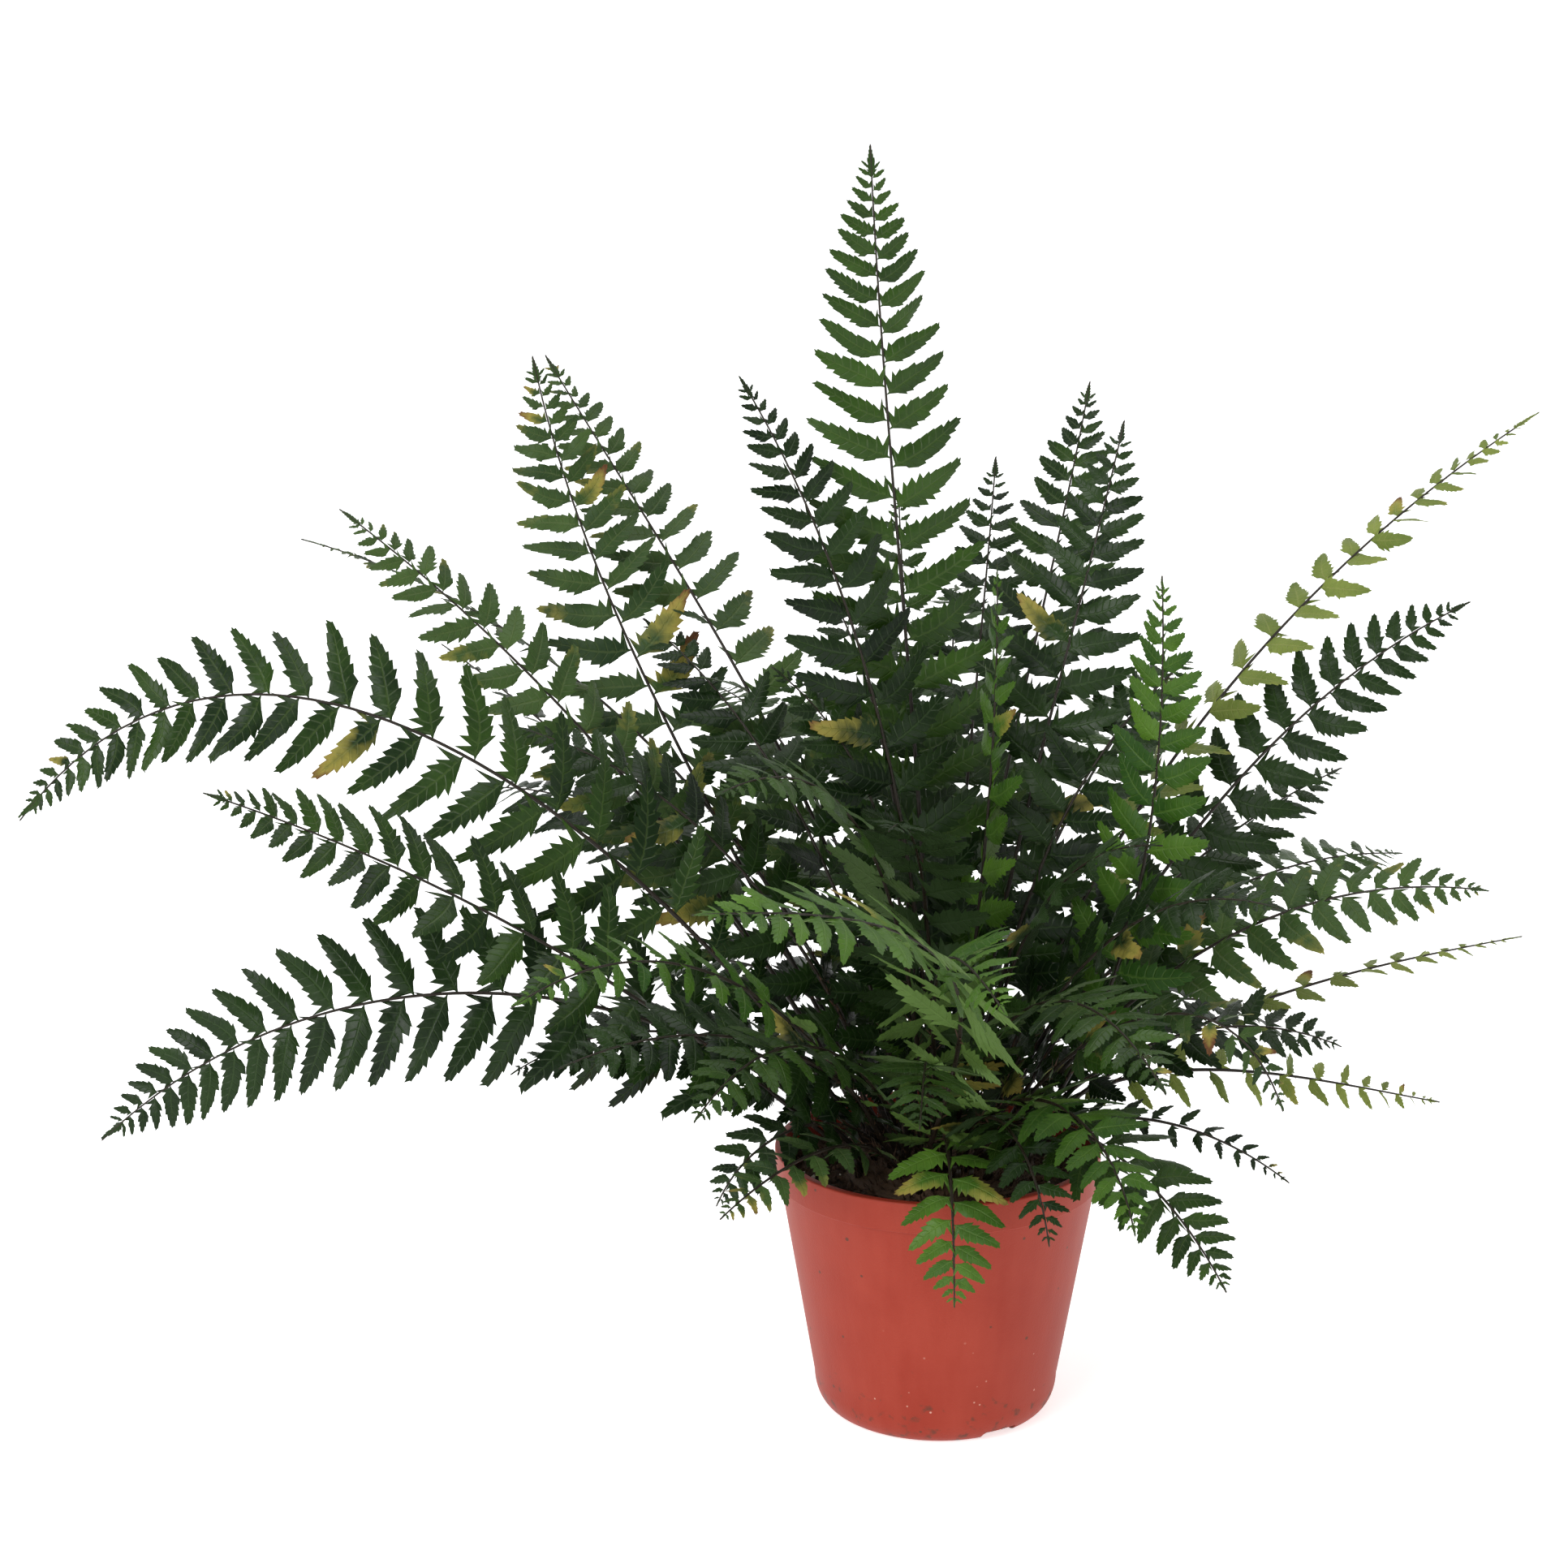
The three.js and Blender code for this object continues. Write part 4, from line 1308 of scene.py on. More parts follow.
FRESH = Habit(twist=9.0, tired=0.03, droop=0.05, fold=-0.02)
WORN = Habit(twist=16.0, tired=0.14, droop=0.15, fold=0.10)


@dataclass
class Frond:
    """One frond: midrib, leaflets in pairs, and scales on its stalk.

    Attributes:
        name: its CAD node's name without the word frond before it.
        number: its place in the plan, which also seeds its random draws.
        tip: where its tip is.
        launch: the angle at which it leaves the crown, in degrees.
        finish: the angle at which it ends.
        sway: how far it bows to its own left.
        roll: how far its face leans to its own left, in degrees.
        width: the blade's half width.
        bare: the bare share of its length.
        tone: its colour.
        solid: the corners of its CAD solid.
        line: its midrib's line.
        left: the level direction to its left.
        rng: its random draws.
    """

    name: str
    number: int
    tip: Array
    launch: float
    finish: float
    sway: float
    roll: float
    width: float
    bare: float
    tone: Tone
    solid: Array = field(init=False)
    line: Arch = field(init=False)
    left: Array = field(init=False)
    rng: Draws = field(init=False)

    def __post_init__(self) -> None:
        """Finds the frond's seat and line from its CAD solid."""
        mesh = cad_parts[f"frond_{self.name}"].data
        flat = np.empty(3 * len(mesh.vertices), np.float32)
        mesh.vertices.foreach_get("co", flat)
        self.solid = np.unique(np.round(flat.reshape(-1, 3).astype(float), 7), axis=0)
        self.rng = np.random.default_rng(1000 + self.number)
        azimuth = math.atan2(self.tip[1], self.tip[0])
        self.left = np.cross(UP, level(azimuth))
        lines = [self._line(azimuth, bow) for bow in EXTRA_BOWS]
        misses = []
        for self.line in lines:
            shares, _ = self.ring_shares()
            misses.append(self._distances(self.rings(shares)[4][STALK_STEPS:, 2]).mean())
        self.line = lines[int(np.argmin(misses))]
        if min(misses) > SAME_PLACE:
            LOG.warning("%s is %.2f mm from its solid", self.name, min(misses) / MM)

    def _line(self, azimuth: float, bow: float) -> Arch:
        """The midrib with that much extra bow.

        Its handles are as long as those of a circular arc that turns as much: the chord times
        2/3 tan(turn/4) / sin(turn/2).

        Args:
            azimuth: the direction from the pot's axis to the tip, in radians.
            bow: the extra bow to the frond's left.
        Returns:
            The line.
        """
        outward = level(azimuth)
        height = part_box("crown")[1].z + CROWN_GAP
        foot = self.solid[np.abs(self.solid[:, 2] - height) < SAME_PLACE]
        foot = foot[np.argsort(np.hypot(foot[:, 0], foot[:, 1]))][:3]
        seat = foot.mean(0) + outward * SECTION[:, 1].mean() * STALK_DIAMETER / 2.0
        launch, finish = math.radians(self.launch), math.radians(self.finish)
        turn = math.radians(max(abs(self.launch - self.finish), LEAST_TURN))
        chord = np.linalg.norm(self.tip - seat)
        handle = chord * (2.0 / 3.0) * math.tan(turn / 4.0) / math.sin(turn / 2.0)
        sway = self.left * (self.sway + bow)
        setting_out = outward * math.cos(launch) + UP * math.sin(launch)
        arriving = outward * math.cos(finish) + UP * math.sin(finish)
        start = seat + handle * setting_out + sway / 2.0
        end = self.tip - handle * arriving + sway
        return Arch(np.array([seat, start, end, self.tip]))

    def _distances(self, points: Array) -> Array:
        """How far each point is from the nearest corner of the CAD solid; the last axis is xyz."""
        apart = points[..., None, :] - self.solid
        return np.linalg.norm(apart, axis=-1).min(-1)

    def ring_shares(self) -> tuple[Array, int]:
        """Where the CAD midrib's rings stand.

        Returns:
            The rings' shares of its length, and how many pairs of leaflets it has.
        """
        pairs = max(round(self.line.length * (1.0 - self.bare) / PINNA_SPACING), FEWEST_PAIRS)
        stalk = self.bare * np.arange(STALK_STEPS) / STALK_STEPS
        return np.concatenate([stalk, self.pair_shares(np.arange(pairs + 1), pairs)]), pairs

    def pair_shares(self, index: Array, pairs: int) -> Array:
        """Where pairs of leaflets stand: 1 - (1 - i/n)^1.7 of the blade, closer towards the tip."""
        left_over = 1.0 - index / (pairs + MERGED_PAIRS)
        return self.bare + (1.0 - self.bare) * (1.0 - left_over**CROWDING)

    def rings(self, shares: Array, softly: bool = False) -> tuple[Array, ...]:
        """The midrib's frames at shares of its length.

        Args:
            shares: from 0 to 1.
            softly: whether the face leans over gradually, as it grows, or at once, as in the CAD.
        Returns:
            Centres, directions, left sides, faces, and the section's three corners.
        """
        centres, along = self.line.at(shares)
        along = np.where(shares[:, None] > 0.0, along, UP)
        flat = unit(self.left - dots(along, self.left[None]) * along)
        level = np.cross(along, flat)
        leaning = shares > self.bare / 2
        if softly:
            leaning = smoothstep(0.35 * self.bare, 0.95 * self.bare, shares)
        roll = np.radians(self.roll) * leaning[:, None]
        left = flat * np.cos(roll) - level * np.sin(roll)
        face = level * np.cos(roll) + flat * np.sin(roll)
        radius = self.radius(shares)[:, None, None]
        corners = centres[:, None] + radius * (
            SECTION[None, :, :1] * left[:, None] + SECTION[None, :, 1:] * face[:, None]
        )
        return centres, along, left, face, corners

    def radius(self, shares: Array) -> Array:
        """The midrib's radius, an even taper from the crown to the tip."""
        return (STALK_DIAMETER + (STALK_TIP_DIAMETER - STALK_DIAMETER) * shares) / 2.0

    def half_width(self, blade_share: Array) -> Array:
        """The blade's half width: min(1, 0.72 + 2.8b) (1-b)^0.62 of its widest, and less below it.

        Args:
            blade_share: b, from 0 at the blade's foot to 1 at the tip, below 0 on the stalk.
        Returns:
            The half width at each place.
        """
        broad = self.tip[2] < LOW_TIP or self.tone is Tone.DARK
        lowest = BROAD_BELOW if broad else NARROW_BELOW
        swell = np.minimum(FOOT_WIDTH + SWELL_RATE * blade_share, 1.0)
        swell = np.where(blade_share < 0.0, np.maximum(swell, lowest * (1.0 + blade_share)), swell)
        return self.width * swell * (1.0 - blade_share) ** TAPER

    def sprouts(self, index: Array, step: Array, side: Array, pairs: int) -> Sprouts:
        """Where leaflets stand on the midrib, how long they are and at what angle.

        Args:
            index: each leaflet's place in the row of pairs, counted from the blade's foot.
            step: how far away the next pair is, in pairs.
            side: 1 on the left, -1 on the right.
            pairs: the number of pairs that the CAD solid has.
        Returns:
            The leaflets' frames.
        """
        lower, upper = self.pair_shares(index, pairs), self.pair_shares(index + step, pairs)
        centre, along, left, face, corners = self.rings(lower)
        centre_up, _, _, _, corners_up = self.rings(upper)
        rows, which = np.arange(len(index)), np.where(side > 0, 0, 1)
        middle = (corners[rows, which] + corners_up[rows, which]) / 2.0
        blade_share = ((lower + upper) / 2.0 - self.bare) / (1.0 - self.bare)
        angle = np.radians(PINNA_ANGLE + (PINNA_TIP_ANGLE - PINNA_ANGLE) * blade_share)
        spacing = np.linalg.norm(centre_up - centre, axis=1)
        uneven = UNEVENNESS * np.sin(PHASES[0] * index + PHASES[1] * side + PHASES[2] * self.number)
        length = self.half_width(blade_share) / np.sin(angle)
        return Sprouts(centre, middle, along, left, face, blade_share, angle, spacing, uneven, length, side)

    def fit(self, pairs: int) -> tuple[Array, Array, Array]:
        """How the CAD solid turned or shortened its leaflets to keep clear of other fronds.

        Every turn and length is tried, and the one whose tip is a corner of the solid counts.

        Args:
            pairs: the number of pairs that the solid has.
        Returns:
            As [pair, right or left]: the turns in degrees, the shares of the full length, and
            whether the leaflet is there.
        """
        index, side = np.repeat(np.arange(pairs), 2), np.tile([-1.0, 1.0], pairs)
        them = self.sprouts(index, np.ones(2 * pairs), side, pairs)
        turns, shares = (grid.ravel() for grid in np.meshgrid(LEAFLET_TURNS, LEAFLET_SHARES))
        reach = (them.length[:, None] * shares)[..., None]
        tips = them.middle[:, None] + reach * them.outward(turns[None] + them.uneven[:, None])
        misses = self._distances(tips)
        best = misses.argmin(1)
        found = misses.min(1) < SAME_PLACE
        return tuple(values.reshape(pairs, 2) for values in (turns[best], shares[best], found))

    def leaflets(self) -> Leaflets:
        """Grows the leaflets where the CAD solid has them, and small ones at the blade's two ends.

        Returns:
            All the frond's leaflets.
        """
        _, pairs = self.ring_shares()
        turns, shares, found = self.fit(pairs)
        close = max(round(pairs * CLOSE_FROM), 1)
        tip_index = close + np.concatenate([[0.0], np.cumsum(CLOSE_STEPS)])
        tip_index = tip_index[tip_index < pairs + MERGED_PAIRS - 0.25]
        index = np.concatenate([np.arange(-LOWER_PAIRS, close), tip_index])
        shares_along = self.pair_shares(index, pairs)
        index = index[(shares_along > FIRST_FROM) & (shares_along < LAST_FROM + 0.010)]
        step = np.diff(index, append=index[-1] + 0.4)
        index, step, side = np.repeat(index, 2), np.repeat(step, 2), np.tile([-1.0, 1.0], len(index))
        them = self.sprouts(index, step, side, pairs)
        nearest = np.clip(np.round(index).astype(int), 0, pairs - 1)
        which = (side > 0).astype(int)
        outside = (index < 0) | (index > pairs - 1)
        turn = np.where(outside, 0, turns[nearest, which])
        share = np.where(outside, 1.0, shares[nearest, which])
        outward = them.outward((turn + them.uneven)[:, None])[:, 0]
        grown = outside | found[nearest, which]
        return self._shape(grown, them, outward, them.length * share)

    def _shape(self, grown: Array, them: Sprouts, outward: Array, length: Array) -> Leaflets:
        """Gives the leaflets their own small differences.

        Each is turned a little about itself. Its half width is the smaller of a share of the step to
        the next pair and a share of its length, which is smaller on a broad frond.

        Args:
            grown: which of them exist.
            them: their frames.
            outward: the way they point.
            length: their lengths.
        Returns:
            The leaflets that exist.
        """
        count, rng, blade_share = len(length), self.rng, them.blade_share
        forward = unit(them.along - dots(them.along, outward) * outward)
        up_side = -them.side[:, None] * np.cross(outward, forward)
        habit = WORN if self.tone in (Tone.OLIVE, Tone.PALE) else FRESH
        twist = np.radians(rng.normal(0.0, habit.twist, count))[:, None]
        forward, up_side = (
            forward * np.cos(twist) + up_side * np.sin(twist),
            up_side * np.cos(twist) - forward * np.sin(twist),
        )
        wither = np.abs(rng.normal(0.0, habit.tired, count)) + habit.tired * ALL_TIRED
        dried_up = rng.random(count) < 0.010 + 0.2 * habit.tired
        wither = wither + DRIED_UP * dried_up
        wither = np.where(blade_share > DRY_TIP_FROM, wither + 2.0 * habit.tired, wither)
        droop = np.abs(rng.normal(habit.droop, 0.06, count)) + 0.05
        fold = rng.normal(habit.fold, 0.10, count)
        lobing = np.clip(LOBING * (self.width / LOBED_WIDTH) * (1.0 - 0.9 * blade_share), 0.18, 0.50)
        length = length * (1.03 + MIDDLE_GAIN * smoothstep(0.25, 0.6, blade_share))
        length = length * (1.0 - TIP_LOSS * smoothstep(0.80, 1.0, blade_share))
        more = TIP_FILL * smoothstep(0.75, 0.98, blade_share)
        slim = np.clip(0.36 - 4.6 * self.width, 0.16, 0.23)
        half_width = np.minimum((FILL + more) * them.spacing, (slim + more) * length)
        shade = rng.normal(0.0, 0.35, count) + rng.normal(0.0, 0.25) + 0.35 * (blade_share - 0.4)
        foot = them.centre + (them.middle - them.centre) * 0.75
        foot = foot + them.along * (0.12 * them.side * them.spacing)[:, None]
        tone, wither = np.clip(shade, -1.0, 1.0), np.clip(wither, 0.0, 1.2)
        return Leaflets(foot, outward, forward, up_side, length, half_width, lobing, droop, fold,
                        tone, wither, them.side).where(grown)

    def last_leaflet(self) -> Leaflets:
        """The toothed blade in which the last pairs merge, along the midrib's end.

        Returns:
            One leaflet, flat and hardly lobed.
        """
        centre, along, left, face, _ = self.rings(np.array([LAST_FROM]))
        length = np.array([self.line.length * (1.0 - LAST_FROM) + 0.4 * MM])
        one = np.ones(1)
        return Leaflets(centre, along, left, face, length, length * 0.20, one * 0.35, one * 0.0,
                        one * 0.05, one * 0.1, one * 0.05, one)

    def midrib(self) -> Skin:
        """The midrib: a tapering tube whose upper side has a groove.

        Returns:
            The skin, from just inside the crown to the tip.
        """
        shares = np.linspace(0.0, 1.0, MIDRIB_RINGS) ** 0.95
        centres, along, left, face, _ = self.rings(shares, softly=True)
        centres = centres.copy()
        centres[0] -= UP * 2.0 * MM
        angles = np.arange(8) * math.pi / 4.0 + math.pi / 8.0
        groove = 1.0 - GROOVE_DEPTH * np.exp(-(((angles - math.pi / 2.0) / GROOVE_WIDTH) ** 2))
        radius = self.radius(shares)[:, None] * groove[None]
        swelling = 1.0 + 0.5 * np.exp(-shares / 0.02)
        radius = radius * swelling[:, None] * (0.92 - 0.22 * shares[:, None])
        rings = centres[:, None] + radius[..., None] * (
            np.cos(angles)[None, :, None] * left[:, None] + np.sin(angles)[None, :, None] * face[:, None]
        )
        return tube(rings, centres[0], centres[-1] + along[-1] * 0.6 * MM, finish=1)

    def scales(self) -> Skin:
        """Papery scales on the stalk, thick at its foot and sparse higher up.

        Returns:
            One skin with all of them.
        """
        count = SCALES_PER_STALK
        shares = self.bare * 1.1 * self.rng.random(count) ** 1.7 + 0.004
        centres, along, left, face, _ = self.rings(shares, softly=True)
        angles = self.rng.uniform(0.0, TURN, count)[:, None]
        away = left * np.cos(angles) + face * np.sin(angles)
        roots = centres + away * self.radius(shares)[:, None] * 0.85
        growth = unit(along + away * self.rng.uniform(0.2, 1.1, count)[:, None])
        lengths = self.rng.uniform(*SCALE_LENGTHS, count) * MM
        outward = unit(away - dots(away, growth) * growth)
        return slivers(roots, growth, outward, lengths, 0.45 * MM, finish=2)

    def build(self, finishes: dict[Tone, Material], stalk: Material,
              scale: Material) -> None:
        """Makes the frond's piece.

        Args:
            finishes: the leaf materials by tone.
            stalk: the midrib's material.
            scale: the scales' material.
        """
        piece = Piece(f"fern_frond_{self.name}")
        them = self.leaflets()
        longer_than = math.inf
        for shortest, pattern in PATTERNS:
            chosen = (them.length >= shortest) & (them.length < longer_than)
            longer_than = shortest
            if chosen.any():
                piece.add(pattern.grow(them.where(chosen), self.rng))
        piece.add(LAST_PATTERN.grow(self.last_leaflet(), self.rng))
        piece.add(self.midrib(), self.scales())
        piece.build([finishes[self.tone], stalk, scale], self.tone.value, f"frond_{self.name}")


# ---- pot, soil and crown ----


def turned(outline: Array, sides: int, finish: int = 0) -> Skin:
    """A solid of revolution about Z: every outline point carried round the axis.

    Args:
        outline: radii and heights, the first and last on the axis.
        sides: steps round the axis.
        finish: which of the piece's finishes covers it.
    Returns:
        The closed skin.
    """
    angles = np.arange(sides) * TURN / sides
    inner = outline[1:-1]
    rings = inner[:, :1, None] * level(angles)[None] + inner[:, 1:, None] * UP
    return tube(rings, UP * outline[0, 1], UP * outline[-1, 1], finish)


def rounded(corners: list[tuple[float, float, float]], steps: int = 5) -> Array:
    """An outline with its corners rounded by arcs.

    The outline leaves its straight run a distance of radius / tan(inner angle / 2) before a corner
    and joins the next run as far after it, along a quadratic curve pulled towards the corner. That
    distance is at most 0.48 of the shorter run.

    Args:
        corners: radius, height and rounding of each corner, in millimetres.
        steps: points on each rounding.
    Returns:
        Points as radius and height, in metres.
    """
    points = np.array(corners, float)
    path = [points[0, :2]]
    for before, here, after in zip(points[:-2], points[1:-1], points[2:]):
        if here[2] <= 0.0:
            path.append(here[:2])
            continue
        towards = unit(before[:2] - here[:2])
        away = unit(after[:2] - here[:2])
        inner = math.acos(float(np.clip(towards @ away, -1.0, 1.0)))
        shorter = min(np.linalg.norm(before[:2] - here[:2]), np.linalg.norm(after[:2] - here[:2]))
        leave = min(here[2] / math.tan(inner / 2.0), 0.48 * shorter)
        t = np.linspace(0.0, 1.0, steps)[:, None]
        a, b = here[:2] + towards * leave, here[:2] + away * leave
        path.extend((1 - t) ** 2 * a + 2 * t * (1 - t) * here[:2] + t**2 * b)
    path.append(points[-1, :2])
    return np.array(path) * MM


def grains(centres: Array, sizes: Array, tones: Array, rng: Draws) -> Skin:
    """Irregular grains: each a knocked-about octahedron of eight faces, split once to thirty-two.

    Args:
        centres: where they lie.
        sizes: three half sizes for each.
        tones: the tone of each.
        rng: the random draws.
    Returns:
        One skin with all the grains.
    """
    points = np.array([[1, 0, 0], [-1, 0, 0], [0, 1, 0], [0, -1, 0], [0, 0, 1], [0, 0, -1]], float)
    faces = np.array([
        [0, 2, 4], [2, 1, 4], [1, 3, 4], [3, 0, 4],
        [2, 0, 5], [1, 2, 5], [3, 1, 5], [0, 3, 5],
    ])
    pairs = np.concatenate([faces[:, [0, 1]], faces[:, [1, 2]], faces[:, [2, 0]]])
    edges = np.unique(np.sort(pairs, 1), axis=0)
    number = {tuple(edge): 6 + i for i, edge in enumerate(edges)}
    points = np.concatenate([points, unit(points[edges].mean(1))])
    split = []
    for a, b, c in faces:
        ab, bc, ca = (number[tuple(sorted(pair))] for pair in ((a, b), (b, c), (c, a)))
        split += [[a, ab, ca], [ab, b, bc], [ca, bc, c], [ab, bc, ca]]
    triangles = np.array(split)
    count, each = len(centres), len(points)
    turns = np.linalg.qr(rng.normal(size=(count, 3, 3)))[0]
    turns[np.linalg.det(turns) < 0] *= -1.0
    shape = points[None] * (1.0 + rng.normal(0.0, 0.13, (count, each, 1)))
    shape = np.einsum("nij,nkj->nki", turns, shape * sizes[:, None])
    corners = (centres[:, None] + shape).reshape(-1, 3)
    rows = (triangles[None] + each * np.arange(count)[:, None, None]).reshape(-1, 3)
    skin = plain_skin(corners, np.zeros((0, 4), int), rows)
    skin.tone = np.repeat(tones, each)
    skin.crisp[:] = rng.random(len(corners)) < 0.5
    return skin


@dataclass
class Pot:
    """The nursery pot: a tapered wall with a rim band, and a foot with drain holes and notches.

    Sizes are in millimetres and angles in degrees. All of them down to first_notch are the CAD pot's
    own. The last five are this model's: steps round the pot and round a hole, how far the wall
    strays from round and above which height it does, and the sharpest bend that still looks smooth.
    """

    height: float = 102.0
    rim_radius: float = 61.0
    band_height: float = 12.0
    band_step: float = 1.8
    base_radius: float = 46.0
    foot_rounding: float = 12.0
    foot_radius: float = 39.0
    foot_ring: float = 5.0
    wall: float = 1.5
    floor_raise: float = 2.2
    floor_top: float = 4.0
    pad_radius: float = 12.0
    hole_radius: float = 4.5
    hole_count: int = 6
    hole_ring: float = 25.0
    notch_width: float = 15.0
    notch_height: float = 3.4
    notch_count: int = 3
    first_notch: float = -58.0
    sides: int = 180
    hole_sides: int = 32
    wobble: float = 0.10
    wobble_from: float = 20.0
    crease: float = 32.0

    @property
    def inner_radius(self) -> float:
        """Inside the rim."""
        return self.rim_radius - self.band_step - self.wall

    def inside_radius(self, z: float) -> float:
        """The pot's inner radius at a height above its rounded foot: an even taper.

        Args:
            z: the height in millimetres.
        Returns:
            The radius in millimetres.
        """
        low, high = self.foot_rounding, self.height - self.band_height
        share = min((z - low) / (high - low), 1.0)
        return self.base_radius - self.wall + (self.inner_radius - self.base_radius + self.wall) * share

    def outline(self) -> Array:
        """The wall's section, from the middle of the base out, up, over the rim and back inside.

        Returns:
            Points as radius and height, in metres.
        """
        foot_inner = self.foot_radius - self.foot_ring
        turns = np.linspace(0.0, math.pi / 2.0, 12)
        bow = [
            (self.foot_radius + (self.base_radius - self.foot_radius) * math.sin(turn),
             self.foot_rounding * (1.0 - math.cos(turn)), 0.0)
            for turn in turns
        ]
        band = self.height - self.band_height
        wall_top = self.rim_radius - self.band_step
        return rounded([
            (0.0, 0.0, 0.0),
            (self.pad_radius, 0.0, 0.3),
            (self.pad_radius + 1.0, self.floor_raise, 0.3),
            (foot_inner - 1.0, self.floor_raise, 0.3),
            (foot_inner, 0.0, 0.3),
            *bow,
            (wall_top, band, 0.5),
            (self.rim_radius - 0.15, band + 0.5, 0.5),
            (self.rim_radius, self.height, 0.8),
            (self.inner_radius, self.height, 0.8),
            (self.inner_radius, band, 1.0),
            (self.base_radius - self.wall, self.foot_rounding, 4.0),
            ((foot_inner + self.base_radius) / 2.0, self.floor_top + 1.8, 3.0),
            (foot_inner, self.floor_top, 1.0),
            (0.0, self.floor_top, 0.0),
        ])

    def cuts(self) -> list[Skin]:
        """The drain holes in the floor and the notches in the foot.

        Returns:
            The solids to cut out, each closed.
        """
        found = []
        below, above = -5.0, 9.0
        radius = self.hole_radius
        drill = np.array([(0.0, below), (radius, below), (radius, above), (0.0, above)]) * MM
        for i in range(self.hole_count):
            hole = turned(drill, self.hole_sides)
            hole.corners += level(TURN * i / self.hole_count) * self.hole_ring * MM
            found.append(hole)
        for i in range(self.notch_count):
            outward = level(math.radians(self.first_notch + 360.0 * i / self.notch_count))
            sideways = np.cross(UP, outward)
            half, top = self.notch_width / 2.0, self.notch_height
            arch = [
                (-half, below), (half, below), (half, top - 1.0),
                (half - 1.0, top), (1.0 - half, top), (-half, top - 1.0),
            ]
            near, far = self.foot_radius - self.foot_ring - 2.0, self.base_radius + 30.0
            rings = np.array([
                [outward * reach + sideways * a + UP * b for a, b in arch] for reach in (near, far)
            ]) * MM
            found.append(tube(rings, rings[0].mean(0), rings[1].mean(0)))
        return found

    def build(self, material: Material) -> None:
        """Turns the pot and cuts its holes and notches.

        Args:
            material: the plastic.
        """
        body = Piece("nursery_pot")
        skin = turned(self.outline(), self.sides)
        wobble = waves(skin.corners, 0.09, 24, np.random.default_rng(5)) * self.wobble * MM
        wobble = wobble * (skin.corners[:, 2] > self.wobble_from * MM)
        outward = unit(skin.corners * np.array([1.0, 1.0, 0.0]))
        skin.corners = skin.corners + outward * wobble[:, None]
        body.add(skin)
        pot = body.build([material], "pot_plastic", "pot")
        knife = Piece("pot_cuts")
        knife.add(*self.cuts())
        cutter = knife.build([material], "pot_plastic")
        cut = pot.modifiers.new("cuts", "BOOLEAN")
        cut.operation, cut.solver, cut.object = "DIFFERENCE", "EXACT", cutter
        bpy.context.view_layer.update()
        seen = pot.evaluated_get(bpy.context.evaluated_depsgraph_get())
        finished = bpy.data.meshes.new_from_object(seen)
        pot.modifiers.clear()
        pot.data = finished
        bpy.data.objects.remove(cutter)
        finished.polygons.foreach_set("use_smooth", np.ones(len(finished.polygons), bool))
        finished.set_sharp_from_angle(angle=math.radians(self.crease))


